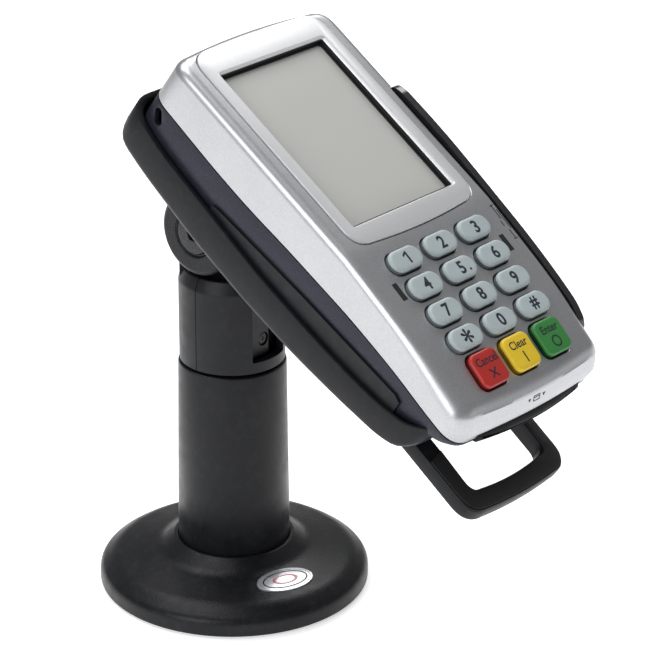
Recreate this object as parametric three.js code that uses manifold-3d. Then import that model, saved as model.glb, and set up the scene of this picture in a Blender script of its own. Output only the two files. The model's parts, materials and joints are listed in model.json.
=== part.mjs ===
// Countertop card payment terminal held in a cradle on a swivel and tilt pole stand.
// Millimetres, +Z up, pole axis on x = y = 0, underside of the base at z = 0, user stands on the -Y side.
import * as THREE from "three";
import { mergeVertices } from "three/addons/utils/BufferGeometryUtils.js";
import Module from "manifold-3d";

const wasm = await Module();
wasm.setup();

// ---- gaps -------------------------------------------------------------------------------------
const FIT_GAP = 0.3;
const SPLIT_GAP = 0.15;

// ---- base and pole ----------------------------------------------------------------------------
const BASE_RADIUS = 53;
const BASE_RIM_TOP = 7.2;
const BASE_SHOULDER_RADIUS = 46.6;
const BASE_SHOULDER_TOP = 11.5;
const BASE_CONE_RADIUS = 29.4;
const BASE_CONE_FOOT = 14.8;
const BASE_CONE_TOP_RADIUS = 23.4;
const BASE_CONE_TOP = 19.4;
const FOOT_PAD_RADIUS = 50;
const FOOT_PAD_THICKNESS = 2;
const FOOT_PAD_PROUD = 0.8;
const TUBE_FOOT = 15;
const TUBE_TOP = 94.6;
const TUBE_BOTTOM_RADIUS = 22;
const TUBE_TOP_RADIUS = 20.9;
const TUBE_BORE_RADIUS = 18;
const TIE_ROD_RADIUS = 4;
const TIE_ROD_TOP = 62;
const BADGE_LENGTH = 23.8;
const BADGE_WIDTH = 13;
const BADGE_THICKNESS = 1.2;
const BADGE_CENTRE = [-9.6, -35.2];
const BADGE_TURN = -0.34;

// ---- swivel collar ----------------------------------------------------------------------------
const COLLAR_RADIUS = 20.4;
const COLLAR_BORE_RADIUS = 17.2;
const COLLAR_BOTTOM = 95.6;
const COLLAR_SHOULDER = 128.4;
const COLLAR_TOP = 133.2;
const COLLAR_TOP_RADIUS = 18.4;
const UPSTAND_TOP = 142.5;
const UPSTAND_HALF_ANGLE = 50;
const CUTOUT_HALF_WIDTH = 8.75;
const CUTOUT_FLOOR = 100;
const CUTOUT_BACK = -13.1;
const NECK_SPIGOT_RADIUS = 12;
const NECK_BODY_RADIUS = 16.9;

// ---- tilt hinge -------------------------------------------------------------------------------
const PIVOT_HEIGHT = 151.6;
const EAR_RADIUS = 16.6;
const EAR_INNER = 12.4;
const EAR_OUTER = 21;
const TONGUE_RADIUS = 15.4;
const TONGUE_HALF_WIDTH = 11.4;
const BOLT_RADIUS = 4;
const BOLT_HEAD_RADIUS = 7.8;

// ---- head frame: x across, s along the terminal towards its top, n out of its face -------------
const HEAD_TILT = 36;
const HEAD_ORIGIN = [0, -75, 185];
const PIVOT_S = 41.04;
const PIVOT_N = -71.11;

// ---- terminal ---------------------------------------------------------------------------------
const BODY_HALF_WIDTH = 41.5;
const BODY_TOP = 79.4;
const BODY_BOTTOM = -96;
const BODY_CORNER = 9;
const WALL = 2.2;
const DISPLAY_S = 27.03;
const DISPLAY_N = -0.45;
const DISPLAY_TURN = -2.25;
const APERTURE_WIDTH = 56;
const APERTURE_LENGTH = 75.5;
const BEZEL_HALF_WIDTH = 34;
const BEZEL_THICKNESS = 2;
const KEYPAD_S = -30.46;
const KEYPAD_N = 2.96;
const KEYPAD_TURN = 2.75;
const KEY_PITCH_X = 19.4;
const KEY_PITCH_S = 11.75;
const KEY_WIDTH = 15.7;
const KEY_LENGTH = 8.8;
const KEY_HEIGHT = 2.6;
const COVER_PLATE = 2;
const FUNCTION_S = -78.96;
const FUNCTION_N = -0.61;
const FUNCTION_TURN = 8.75;
const FUNCTION_KEY_PITCH = 18.1;
const FUNCTION_KEY_WIDTH = 14.1;
const FUNCTION_KEY_LENGTH = 13.6;
const SWIPE_INNER = 37.9;
const SWIPE_WIDTH = 1.6;
const RAIL_OUTER = 42.6;
const RAIL_TOP_END = 36;
const RAIL_LOW_END = -80;

// ---- cradle and handle ------------------------------------------------------------------------
const CRADLE_HALF_WIDTH = 45;
const CRADLE_TOP = 82;
const CRADLE_BOTTOM = -85;
const CRADLE_WALL = 2.2;
const HANDLE_INNER = 21.3;
const HANDLE_OUTER = 28.6;
const HANDLE_INNER_END = -104.5;
const HANDLE_OUTER_END = -112.6;

const FACETS = 32;
const SMALL_FACETS = 12;
const BOLT_FACETS = 16;
const group = new THREE.Group();
group.name = "card_terminal_on_stand";

// ---- shape tools ------------------------------------------------------------------------------
function toSolid(geometry) {
  const bare = geometry.clone();
  bare.deleteAttribute("normal");
  bare.deleteAttribute("uv");
  const merged = mergeVertices(bare, 1e-4);
  return new wasm.Manifold(new wasm.Mesh({
    numProp: 3,
    vertProperties: new Float32Array(merged.attributes.position.array),
    triVerts: new Uint32Array(merged.index.array),
  }));
}

function toGeometry(solid) {
  const mesh = solid.getMesh();
  const geometry = new THREE.BufferGeometry();
  const points = new Float32Array(mesh.numVert * 3);
  for (let i = 0; i < mesh.numVert; i += 1) {
    points[3 * i] = mesh.vertProperties[mesh.numProp * i];
    points[3 * i + 1] = mesh.vertProperties[mesh.numProp * i + 1];
    points[3 * i + 2] = mesh.vertProperties[mesh.numProp * i + 2];
  }
  geometry.setAttribute("position", new THREE.BufferAttribute(points, 3));
  geometry.setIndex(new THREE.BufferAttribute(new Uint32Array(mesh.triVerts), 1));
  geometry.computeVertexNormals();
  return geometry;
}

function closedShape(points) {
  const shape = new THREE.Shape();
  shape.moveTo(points[0][0], points[0][1]);
  for (const point of points.slice(1)) {
    shape.lineTo(point[0], point[1]);
  }
  shape.closePath();
  return shape;
}

function roundedRect(halfX, lowY, highY, radius) {
  const shape = new THREE.Shape();
  const r = Math.min(radius, halfX - 0.001, (highY - lowY) / 2 - 0.001);
  shape.moveTo(-halfX + r, lowY);
  shape.lineTo(halfX - r, lowY);
  shape.absarc(halfX - r, lowY + r, r, -Math.PI / 2, 0, false);
  shape.lineTo(halfX, highY - r);
  shape.absarc(halfX - r, highY - r, r, 0, Math.PI / 2, false);
  shape.lineTo(-halfX + r, highY);
  shape.absarc(-halfX + r, highY - r, r, Math.PI / 2, Math.PI, false);
  shape.lineTo(-halfX, lowY + r);
  shape.absarc(-halfX + r, lowY + r, r, Math.PI, Math.PI * 1.5, false);
  return shape;
}

// Flat shape in the x-y plane, raised from z = low to z = high.
function prism(shape, low, high, curveSegments = 3) {
  const geometry = new THREE.ExtrudeGeometry(shape, {
    depth: high - low,
    bevelEnabled: false,
    curveSegments,
  });
  geometry.translate(0, 0, low);
  return geometry;
}

// Side outline given as (s, n) pairs, carried across from x = low to x = high.
function sidePrism(points, low, high) {
  const geometry = prism(closedShape(points), low, high);
  geometry.applyMatrix4(new THREE.Matrix4().set(0, 0, 1, 0, 1, 0, 0, 0, 0, 1, 0, 0, 0, 0, 0, 1));
  return geometry;
}

function block(x0, x1, y0, y1, z0, z1) {
  const geometry = new THREE.BoxGeometry(x1 - x0, y1 - y0, z1 - z0);
  geometry.translate((x0 + x1) / 2, (y0 + y1) / 2, (z0 + z1) / 2);
  return geometry;
}

// Turned shape: (radius, z) pairs that start and end on the axis, or form a closed ring.
function turned(points, segments = FACETS) {
  const geometry = new THREE.LatheGeometry(points.map((p) => new THREE.Vector2(p[0], p[1])), segments);
  geometry.rotateX(Math.PI / 2);
  return geometry;
}

function ring(inner, outer, low, high, segments = FACETS) {
  return turned([[inner, low], [outer, low], [outer, high], [inner, high], [inner, low]], segments);
}

function rod(radius, low, high, segments = BOLT_FACETS) {
  return turned([[0, low], [radius, low], [radius, high], [0, high]], segments);
}

// Turned shape laid along the x axis.
function acrossX(geometry) {
  geometry.rotateY(Math.PI / 2);
  return geometry;
}

function hexPrism(acrossFlats, low, high) {
  const radius = acrossFlats / Math.sqrt(3);
  const points = [];
  for (let i = 0; i < 6; i += 1) {
    const angle = (i * Math.PI) / 3;
    points.push([radius * Math.cos(angle), radius * Math.sin(angle)]);
  }
  return prism(closedShape(points), low, high);
}

// Lathe geometry can come out facing inwards; a negative volume says so.
function solidOf(geometry) {
  const index = geometry.index ? geometry.index.array : null;
  const position = geometry.attributes.position;
  const count = index ? index.length : position.count;
  let volume = 0;
  const a = new THREE.Vector3();
  const b = new THREE.Vector3();
  const c = new THREE.Vector3();
  for (let i = 0; i < count; i += 3) {
    a.fromBufferAttribute(position, index ? index[i] : i);
    b.fromBufferAttribute(position, index ? index[i + 1] : i + 1);
    c.fromBufferAttribute(position, index ? index[i + 2] : i + 2);
    volume += a.dot(b.clone().cross(c));
  }
  if (volume < 0) {
    const flipped = index ? geometry : mergeVertices(geometry);
    const list = flipped.index.array;
    for (let i = 0; i < list.length; i += 3) {
      const keep = list[i + 1];
      list[i + 1] = list[i + 2];
      list[i + 2] = keep;
    }
    return toSolid(flipped);
  }
  return toSolid(geometry);
}

function less(first, ...others) {
  let solid = first;
  for (const other of others) {
    solid = solid.subtract(other);
  }
  return solid;
}

function joined(first, ...others) {
  let solid = first;
  for (const other of others) {
    solid = solid.add(other);
  }
  return solid;
}

const headMatrix = new THREE.Matrix4()
  .makeTranslation(HEAD_ORIGIN[0], HEAD_ORIGIN[1], HEAD_ORIGIN[2])
  .multiply(new THREE.Matrix4().makeRotationX(THREE.MathUtils.degToRad(HEAD_TILT)));

// Moves a geometry from a local plane of the terminal into the head frame.
function inPlane(geometry, s, n, turn) {
  geometry.rotateX(THREE.MathUtils.degToRad(turn));
  geometry.translate(0, s, n);
  return geometry;
}

function onDisplay(geometry) {
  return inPlane(geometry, DISPLAY_S, DISPLAY_N, DISPLAY_TURN);
}

function onKeypad(geometry) {
  return inPlane(geometry, KEYPAD_S, KEYPAD_N, KEYPAD_TURN);
}

function onFunctionRow(geometry) {
  return inPlane(geometry, FUNCTION_S, FUNCTION_N, FUNCTION_TURN);
}

function addNode(name, solid, look, inHead = false) {
  const geometry = toGeometry(solid);
  if (inHead) {
    geometry.applyMatrix4(headMatrix);
  }
  geometry.computeVertexNormals();
  const mesh = new THREE.Mesh(geometry, new THREE.MeshStandardMaterial(look));
  mesh.name = name;
  mesh.material.name = name + "_look";
  group.add(mesh);
}

const SATIN_BLACK = { color: 0x2e2e33, roughness: 0.45, metalness: 0.0 };
const CAST_BLACK = { color: 0x2c2c31, roughness: 0.5, metalness: 0.1 };
const STEEL = { color: 0xa9abb0, roughness: 0.35, metalness: 1.0 };
const RUBBER = { color: 0x151517, roughness: 0.85, metalness: 0.0 };
const SILVER = { color: 0xb9bcc2, roughness: 0.38, metalness: 0.6 };
const PALE_SILVER = { color: 0xd5d7da, roughness: 0.4, metalness: 0.3 };
const SLATE = { color: 0x3c3e4b, roughness: 0.5, metalness: 0.3 };
const BOARD_GREEN = { color: 0x1f5a36, roughness: 0.6, metalness: 0.0 };
const KEY_GREY = { color: 0xc3cdd0, roughness: 0.5, metalness: 0.0 };

// ---- stand ------------------------------------------------------------------------------------
const tubeSocket = rod(TUBE_BOTTOM_RADIUS + FIT_GAP, TUBE_FOOT - 0.02, BASE_CONE_TOP + 1, FACETS);
const badgeOval = (growth, low, high) => {
  const shape = new THREE.Shape();
  shape.absellipse(0, 0, BADGE_LENGTH / 2 + growth, BADGE_WIDTH / 2 + growth, 0, Math.PI * 2, false, 0);
  const geometry = prism(shape, low, high, 12);
  geometry.rotateZ(BADGE_TURN);
  const reach = Math.hypot(BADGE_CENTRE[0], BADGE_CENTRE[1]);
  const fall = Math.atan2(BASE_CONE_FOOT - BASE_SHOULDER_TOP, BASE_SHOULDER_RADIUS - BASE_CONE_RADIUS);
  const outward = new THREE.Vector3(BADGE_CENTRE[0] / reach, BADGE_CENTRE[1] / reach, 0);
  const hinge = new THREE.Vector3(-outward.y, outward.x, 0);
  geometry.applyMatrix4(new THREE.Matrix4().makeRotationAxis(hinge, fall));
  const surface = BASE_CONE_FOOT - (reach - BASE_CONE_RADIUS) * Math.tan(fall);
  geometry.translate(BADGE_CENTRE[0], BADGE_CENTRE[1], surface);
  return geometry;
};
let basePlate = solidOf(turned([
  [0, FOOT_PAD_PROUD], [BASE_RADIUS - 0.6, FOOT_PAD_PROUD], [BASE_RADIUS, FOOT_PAD_PROUD + 0.6],
  [BASE_RADIUS, BASE_RIM_TOP], [BASE_SHOULDER_RADIUS, BASE_SHOULDER_TOP],
  [BASE_CONE_RADIUS, BASE_CONE_FOOT], [BASE_CONE_TOP_RADIUS, BASE_CONE_TOP], [0, BASE_CONE_TOP],
], 40));
basePlate = less(
  basePlate,
  solidOf(tubeSocket),
  solidOf(rod(FOOT_PAD_RADIUS + FIT_GAP, 0, FOOT_PAD_THICKNESS, 40)),
  solidOf(rod(TIE_ROD_RADIUS + FIT_GAP, 0, BASE_CONE_TOP)),
  solidOf(rod(9 + FIT_GAP, 0, 6.02)),
  solidOf(badgeOval(FIT_GAP, -0.55, 4)),
);
addNode("base_plate", basePlate, CAST_BLACK);
addNode("base_foot_pad", solidOf(rod(FOOT_PAD_RADIUS, 0, FOOT_PAD_THICKNESS - 0.02, 40)), RUBBER);
addNode("base_badge", solidOf(badgeOval(0, -0.53, -0.53 + BADGE_THICKNESS)), PALE_SILVER);
addNode("tie_rod", joined(
  solidOf(rod(TIE_ROD_RADIUS, 3, TIE_ROD_TOP)),
  solidOf(hexPrism(13, 2.4, 6)),
), STEEL);
const tubeBridge = ring(TIE_ROD_RADIUS + FIT_GAP, TUBE_BORE_RADIUS + 1, 50, 54);
addNode("pole_tube", joined(
  solidOf(turned([
    [TUBE_BORE_RADIUS, TUBE_FOOT], [TUBE_BOTTOM_RADIUS, TUBE_FOOT],
    [TUBE_TOP_RADIUS, TUBE_TOP - 0.5], [TUBE_TOP_RADIUS - 0.5, TUBE_TOP],
    [TUBE_BORE_RADIUS, TUBE_TOP], [TUBE_BORE_RADIUS, TUBE_FOOT],
  ], FACETS)),
  solidOf(tubeBridge),
), SATIN_BLACK);
addNode("tie_rod_washer", solidOf(ring(TIE_ROD_RADIUS + FIT_GAP, 9, 54.02, 55.6, BOLT_FACETS)), STEEL);
addNode("tie_rod_nut", less(
  solidOf(hexPrism(13, 55.62, 61.6)),
  solidOf(rod(TIE_ROD_RADIUS + FIT_GAP, 50, 70)),
), STEEL);
const BUSH_BOTTOM = 76;
const BUSH_COLLAR = 93.2;
addNode("swivel_bush", solidOf(ring(
  NECK_SPIGOT_RADIUS + FIT_GAP, TUBE_BORE_RADIUS - 0.05, BUSH_BOTTOM, BUSH_COLLAR,
)), { color: 0xd9d6cc, roughness: 0.55, metalness: 0.0 });

// ---- swivel collar ----------------------------------------------------------------------------
const pivotSweep = acrossX(rod(EAR_RADIUS + 0.6, -26, 26, FACETS));
pivotSweep.translate(0, 0, PIVOT_HEIGHT);
const collarTube = solidOf(turned([
  [COLLAR_BORE_RADIUS, COLLAR_BOTTOM], [COLLAR_RADIUS - 0.4, COLLAR_BOTTOM],
  [COLLAR_RADIUS, COLLAR_BOTTOM + 0.4], [COLLAR_RADIUS, COLLAR_SHOULDER],
  [COLLAR_TOP_RADIUS, COLLAR_TOP], [COLLAR_BORE_RADIUS, COLLAR_TOP],
  [COLLAR_BORE_RADIUS, COLLAR_BOTTOM],
], FACETS));
const cutout = solidOf(block(
  -CUTOUT_HALF_WIDTH, CUTOUT_HALF_WIDTH, -30, CUTOUT_BACK, CUTOUT_FLOOR, 140,
));
addNode("collar_front", less(
  collarTube,
  solidOf(block(-30, 30, -SPLIT_GAP, 40, 80, 150)),
  cutout,
), SATIN_BLACK);
const wedge = [[0, 0]];
for (let i = -5; i <= 5; i += 1) {
  const angle = THREE.MathUtils.degToRad(90 + (i * UPSTAND_HALF_ANGLE) / 5);
  wedge.push([40 * Math.cos(angle), 40 * Math.sin(angle)]);
}
const upstand = less(
  solidOf(ring(COLLAR_BORE_RADIUS, COLLAR_RADIUS - 0.5, COLLAR_SHOULDER - 10, UPSTAND_TOP)),
  solidOf(pivotSweep),
).intersect(solidOf(prism(closedShape(wedge), 90, 160)));
const boltHole = (x, z) => {
  const geometry = rod(1.9, -40, 40, SMALL_FACETS);
  geometry.rotateX(Math.PI / 2);
  geometry.translate(x, 0, z);
  return geometry;
};
const headHole = (x, z) => {
  const geometry = rod(3.3, -1, 12, SMALL_FACETS);
  geometry.rotateX(-Math.PI / 2);
  geometry.translate(x, 18, z);
  return geometry;
};
const COLLAR_SCREWS = [[0, 104], [0, 124]];
let collarRear = joined(
  less(collarTube, solidOf(block(-30, 30, -40, SPLIT_GAP, 80, 150))),
  upstand,
);
for (const [x, z] of COLLAR_SCREWS) {
  collarRear = less(collarRear, solidOf(boltHole(x, z)), solidOf(headHole(x, z)));
}
addNode("collar_rear", collarRear, SATIN_BLACK);

const pivotRod = (radius, low, high, segments = FACETS) => {
  const geometry = acrossX(rod(radius, low, high, segments));
  geometry.translate(0, 0, PIVOT_HEIGHT);
  return geometry;
};
let neck = joined(
  solidOf(rod(NECK_SPIGOT_RADIUS, 72, 96.6, FACETS)),
  solidOf(rod(NECK_BODY_RADIUS, 96.2, 131, FACETS)),
  solidOf(block(-TONGUE_HALF_WIDTH, TONGUE_HALF_WIDTH, -11, 11, 130, PIVOT_HEIGHT)),
  solidOf(pivotRod(TONGUE_RADIUS, -TONGUE_HALF_WIDTH, TONGUE_HALF_WIDTH)),
);
neck = less(
  neck,
  solidOf(pivotRod(BOLT_RADIUS + FIT_GAP, -30, 30, BOLT_FACETS)),
  solidOf(block(-CUTOUT_HALF_WIDTH - 2, CUTOUT_HALF_WIDTH + 2, -30, CUTOUT_BACK + FIT_GAP, 90, 133)),
  solidOf(rod(3.4, 60, 88, SMALL_FACETS)),
);
for (const [x, z] of COLLAR_SCREWS) {
  const thread = rod(1.9, -1, 8.4, SMALL_FACETS);
  thread.rotateX(-Math.PI / 2);
  thread.translate(x, 9.5, z);
  neck = less(neck, solidOf(thread));
}
addNode("neck_block", neck, CAST_BLACK);
COLLAR_SCREWS.forEach(([x, z], i) => {
  const shank = rod(1.6, 0, 8.6, SMALL_FACETS);
  shank.rotateX(-Math.PI / 2);
  shank.translate(x, 9.8, z);
  const cap = rod(3, 0, 2, SMALL_FACETS);
  cap.rotateX(-Math.PI / 2);
  cap.translate(x, 18.1, z);
  const hex = hexPrism(2.5, 0, 3);
  hex.rotateX(-Math.PI / 2);
  hex.translate(x, 19, z);
  addNode("collar_screw_" + (i + 1), less(joined(solidOf(shank), solidOf(cap)), solidOf(hex)), STEEL);
});
addNode("swivel_screw", joined(
  solidOf(rod(3, 70, 87.4, SMALL_FACETS)),
  solidOf(rod(15.5, 70, 71.7, 24)),
  solidOf(hexPrism(10, 66.2, 70.1)),
), STEEL);
const COVER_BACK = CUTOUT_BACK - 0.2;
const COVER_FRONT = -16;
const coverScrewAxis = (radius, low, high, segments = SMALL_FACETS) => {
  const geometry = rod(radius, low, high, segments);
  geometry.rotateX(Math.PI / 2);
  geometry.translate(0, 0, 106.8);
  return geometry;
};
addNode("cable_cover", less(
  solidOf(block(-CUTOUT_HALF_WIDTH + FIT_GAP, 3, COVER_FRONT, COVER_BACK, CUTOUT_FLOOR + 0.3, 128)),
  solidOf(coverScrewAxis(1.5 + FIT_GAP, -30, 30)),
  solidOf(coverScrewAxis(2.4 + FIT_GAP, 15, 30)),
), SATIN_BLACK);
addNode("cable_cover_screw", less(
  joined(
    solidOf(coverScrewAxis(1.2, 13.2, 15.1)),
    solidOf(coverScrewAxis(2.3, 15.02, 15.7)),
  ),
  solidOf(coverScrewAxis(0.9, 15.3, 17, 6)),
), STEEL);

// ---- tilt bracket on the head -----------------------------------------------------------------
function acrossXAtPivot(geometry) {
  acrossX(geometry);
  geometry.translate(0, PIVOT_S, PIVOT_N);
  return geometry;
}

const frictionWasher = (name, low, high) => {
  addNode(name, solidOf(acrossXAtPivot(ring(BOLT_RADIUS + FIT_GAP, 13, low, high, 24))), {
    color: 0xe4e1d8, roughness: 0.5, metalness: 0.0,
  }, true);
};
const BRACKET_PLATE_TOP = -50.9;
const BRACKET_PLATE_LOW = -54.4;
const earOutline = (side) => {
  const chamfer = 1.4;
  const profile = [
    [0, EAR_INNER], [EAR_RADIUS, EAR_INNER], [EAR_RADIUS, EAR_OUTER - chamfer],
    [EAR_RADIUS - chamfer, EAR_OUTER], [0, EAR_OUTER],
  ];
  const disc = turned(profile);
  acrossXAtPivot(disc);
  const web = block(
    EAR_INNER, EAR_OUTER - chamfer,
    PIVOT_S - EAR_RADIUS + 1.2, PIVOT_S + EAR_RADIUS - 1.2, PIVOT_N, BRACKET_PLATE_TOP - 0.5,
  );
  if (side < 0) {
    disc.applyMatrix4(new THREE.Matrix4().makeScale(-1, 1, 1));
    web.applyMatrix4(new THREE.Matrix4().makeScale(-1, 1, 1));
  }
  return joined(solidOf(disc), solidOf(web));
};
const BRACKET_SCREWS = [[0, 20], [0, 62]];
let bracket = joined(
  solidOf(prism(roundedRect(24, 14, 68, 5), BRACKET_PLATE_LOW, BRACKET_PLATE_TOP)),
  earOutline(1),
  earOutline(-1),
);
bracket = less(
  bracket,
  solidOf(acrossXAtPivot(rod(BOLT_RADIUS + FIT_GAP, -30, 30))),
  solidOf(acrossXAtPivot(rod(BOLT_HEAD_RADIUS + FIT_GAP, -30, -EAR_OUTER + 3.4, 24))),
  solidOf(acrossXAtPivot(rod(BOLT_HEAD_RADIUS + FIT_GAP, EAR_OUTER - 3.4, 30, 24))),
);
for (const [x, s] of BRACKET_SCREWS) {
  const hole = rod(1.9, -60, -40, SMALL_FACETS);
  hole.translate(x, s, 0);
  bracket = less(bracket, solidOf(hole));
}
addNode("tilt_bracket", bracket, SATIN_BLACK, true);
frictionWasher("friction_washer_left", -EAR_INNER + 0.03, -TONGUE_HALF_WIDTH - 0.15);
frictionWasher("friction_washer_right", TONGUE_HALF_WIDTH + 0.15, EAR_INNER - 0.03);
const socket = hexPrism(5.2, -30, -EAR_OUTER + 2.4);
addNode("hinge_bolt", less(
  joined(
    solidOf(acrossXAtPivot(rod(BOLT_RADIUS, -EAR_OUTER + 3.3, EAR_OUTER + 0.6))),
    solidOf(acrossXAtPivot(turned([
      [0, -EAR_OUTER - 1.4], [4.6, -EAR_OUTER - 1.2], [6.6, -EAR_OUTER - 0.5],
      [BOLT_HEAD_RADIUS - 0.1, -EAR_OUTER + 0.5],
      [BOLT_HEAD_RADIUS, -EAR_OUTER + 3.38], [0, -EAR_OUTER + 3.38],
    ], 24))),
  ),
  solidOf(acrossXAtPivot(socket)),
), STEEL, true);
addNode("hinge_nut", less(
  solidOf(acrossXAtPivot(hexPrism(12.6, EAR_OUTER - 3.38, EAR_OUTER + 1))),
  solidOf(acrossXAtPivot(rod(BOLT_RADIUS + FIT_GAP, 0, 40))),
), STEEL, true);

// ---- cradle -----------------------------------------------------------------------------------
const CASING_UNDERSIDE = [
  [BODY_TOP, -30], [78.4, -37], [74, -41.6], [66, -43.4], [30, -44.8], [0, -44], [-25, -42],
  [-50, -38.4], [-68, -34], [-78, -28.6], [-88, -24], [BODY_BOTTOM + 2, -22.4], [BODY_BOTTOM, -21.2],
];
const bodyPlan = (inset) => {
  const half = BODY_HALF_WIDTH - inset;
  const top = BODY_TOP - inset;
  const low = BODY_BOTTOM + inset;
  const r = BODY_CORNER - inset;
  const bow = 1.6;
  const shape = new THREE.Shape();
  shape.moveTo(-half + r, low + bow);
  shape.quadraticCurveTo(0, low - bow, half - r, low + bow);
  shape.quadraticCurveTo(half, low + bow, half, low + bow + r);
  shape.lineTo(half, top - bow - r);
  shape.quadraticCurveTo(half, top - bow, half - r, top - bow);
  shape.quadraticCurveTo(0, top + bow, -half + r, top - bow);
  shape.quadraticCurveTo(-half, top - bow, -half, top - bow - r);
  shape.lineTo(-half, low + bow + r);
  shape.quadraticCurveTo(-half, low + bow, -half + r, low + bow);
  return shape;
};
const planSolid = (inset) => solidOf(prism(bodyPlan(inset), -60, 10, 5));
const CRADLE_UNDERSIDE = [
  [CRADLE_TOP, -36.5], [80.8, -43], [77, -47], [62, -49], [30, -50.6], [0, -50], [-25, -48],
  [-50, -44.4], [-70, -40.6], [-79, -37], [-83.6, -31.5], [CRADLE_BOTTOM, -26],
];
const CRADLE_WALL_TOP = [
  [CRADLE_BOTTOM, -19.5], [-80, -22.6], [-75, -25.6], [-65, -28.6], [-50, -31], [-30, -33],
  [0, -34.8], [60, -34], [78, -31], [CRADLE_TOP, -29.5],
];
const CRADLE_FLOOR = [
  [CRADLE_TOP - 4, -43.6], [62, -45.8], [30, -47.2], [0, -46.6], [-25, -44.6],
  [-50, -41], [-70, -37.2], [-79, -33], [CRADLE_BOTTOM + 3, -28],
];
const cradlePlan = (inset) => roundedRect(
  CRADLE_HALF_WIDTH - inset, CRADLE_BOTTOM + inset, CRADLE_TOP - inset, 11 - inset,
);
const cradleOutside = solidOf(prism(cradlePlan(0), -60, 0))
  .intersect(solidOf(sidePrism([...CRADLE_UNDERSIDE, ...CRADLE_WALL_TOP], -50, 50)));
const cradleInside = solidOf(prism(cradlePlan(CRADLE_WALL), -60, 0))
  .intersect(solidOf(sidePrism([
    ...CRADLE_FLOOR, [CRADLE_BOTTOM - 5, -28], [CRADLE_BOTTOM - 5, 5], [90, 5], [90, -43.6],
  ], -50, 50)));
let cradle = less(cradleOutside, cradleInside);
const bracketPad = solidOf(prism(roundedRect(26, 12, 70, 5), BRACKET_PLATE_TOP + 0.02, -46.6));
cradle = joined(cradle, bracketPad.intersect(solidOf(block(-30, 30, 10, 72, -50.88, -46.4))));
for (const [x, s] of BRACKET_SCREWS) {
  const hole = rod(1.9, -60, -40, SMALL_FACETS);
  hole.translate(x, s, 0);
  cradle = less(cradle, solidOf(hole));
}
cradle = less(
  cradle,
  solidOf(prism(roundedRect(9, -22, 2, 3), -60, -30)),
  planSolid(-0.25).intersect(solidOf(sidePrism([
    ...CASING_UNDERSIDE.map((p) => [p[0], p[1] - FIT_GAP]), [BODY_BOTTOM - 2, -20], [BODY_BOTTOM - 2, 8],
    [BODY_TOP + 2, 8], [BODY_TOP + 2, -30],
  ], -50, 50))),
);
for (const side of [-1, 1]) {
  const rib = [...CASING_UNDERSIDE.slice(3, 9).map((p) => [p[0], p[1] - 0.02]), [-68, -38], [-50, -42],
    [-25, -45.6], [0, -47.6], [30, -48.2], [66, -46]];
  cradle = joined(cradle, solidOf(sidePrism(rib, side * 30 - 1.2, side * 30 + 1.2)));
}
BRACKET_SCREWS.forEach(([x, s], i) => {
  const shank = rod(1.6, BRACKET_PLATE_LOW - 0.4, -46.6, SMALL_FACETS);
  shank.translate(x, s, 0);
  const cap = rod(3.1, BRACKET_PLATE_LOW - 2, BRACKET_PLATE_LOW - 0.02, SMALL_FACETS);
  cap.translate(x, s, 0);
  addNode("bracket_screw_" + (i + 1), joined(solidOf(shank), solidOf(cap)), STEEL, true);
});
const CLIP_TOP = [[32, -32.4], [28, -31.6], [-16, -26.4], [-66, -21.6], [-69, -22.6]];
const clipOutline = [...CLIP_TOP, [-70, -35.2], [-40, -39.4], [0, -44], [32, -45]];
for (const [name, side] of [["cradle_clip_left", -1], ["cradle_clip_right", 1]]) {
  const outer = side * (CRADLE_HALF_WIDTH - CRADLE_WALL - 0.02);
  const inner = side * (BODY_HALF_WIDTH + 0.25);
  const low = Math.min(outer, inner);
  const high = Math.max(outer, inner);
  addNode(name, solidOf(sidePrism(clipOutline, low, high)), SATIN_BLACK, true);
}
addNode("cradle_tray", cradle, SATIN_BLACK, true);

const handleLoop = (inset, inner) => {
  const half = inner ? HANDLE_INNER - inset : HANDLE_OUTER - inset;
  const end = inner ? HANDLE_INNER_END + inset : HANDLE_OUTER_END + inset;
  const bow = inner ? 2.2 : 1.8;
  const corner = inner ? 3 : 9;
  const shape = new THREE.Shape();
  shape.moveTo(half, inner ? -20 : -34);
  shape.lineTo(-half, inner ? -20 : -34);
  shape.lineTo(-half, end + corner);
  shape.quadraticCurveTo(-half, end, -half + corner, end);
  shape.quadraticCurveTo(0, end - bow, half - corner, end);
  shape.quadraticCurveTo(half, end, half, end + corner);
  shape.closePath();
  return shape;
};
const handleSide = [
  [-30, -51.5], [-50, -50.4], [-80, -49.6], [-120, -49.6], [-120, -43], [-80, -42.6], [-60, -40], [-30, -40],
];
const trayClear = solidOf(sidePrism([
  ...CRADLE_UNDERSIDE.map((p) => [p[0], p[1] - 0.02]), [CRADLE_BOTTOM, 0], [CRADLE_TOP, 0],
], -50, 50)).intersect(solidOf(prism(cradlePlan(-0.02), -60, 0)));
let handle = less(
  solidOf(prism(handleLoop(0, false), -60, -30, 5)),
  solidOf(prism(handleLoop(0, true), -61, -29, 5)),
).intersect(solidOf(sidePrism(handleSide, -40, 40)));
handle = less(handle, trayClear);
const gripPad = less(
  solidOf(prism(handleLoop(0.8, false), -43.4, -41.4, 5)),
  solidOf(prism(handleLoop(-0.8, true), -50, -30, 5)),
  solidOf(block(-40, 40, -86, 0, -60, 0)),
);
handle = less(handle, less(
  solidOf(prism(handleLoop(0.5, false), -43.42, -41, 5)),
  solidOf(prism(handleLoop(-0.5, true), -50, -30, 5)),
  solidOf(block(-40, 40, -85.7, 0, -60, 0)),
));
addNode("cradle_handle", handle, SATIN_BLACK, true);
addNode("handle_grip", gripPad, RUBBER, true);

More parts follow.
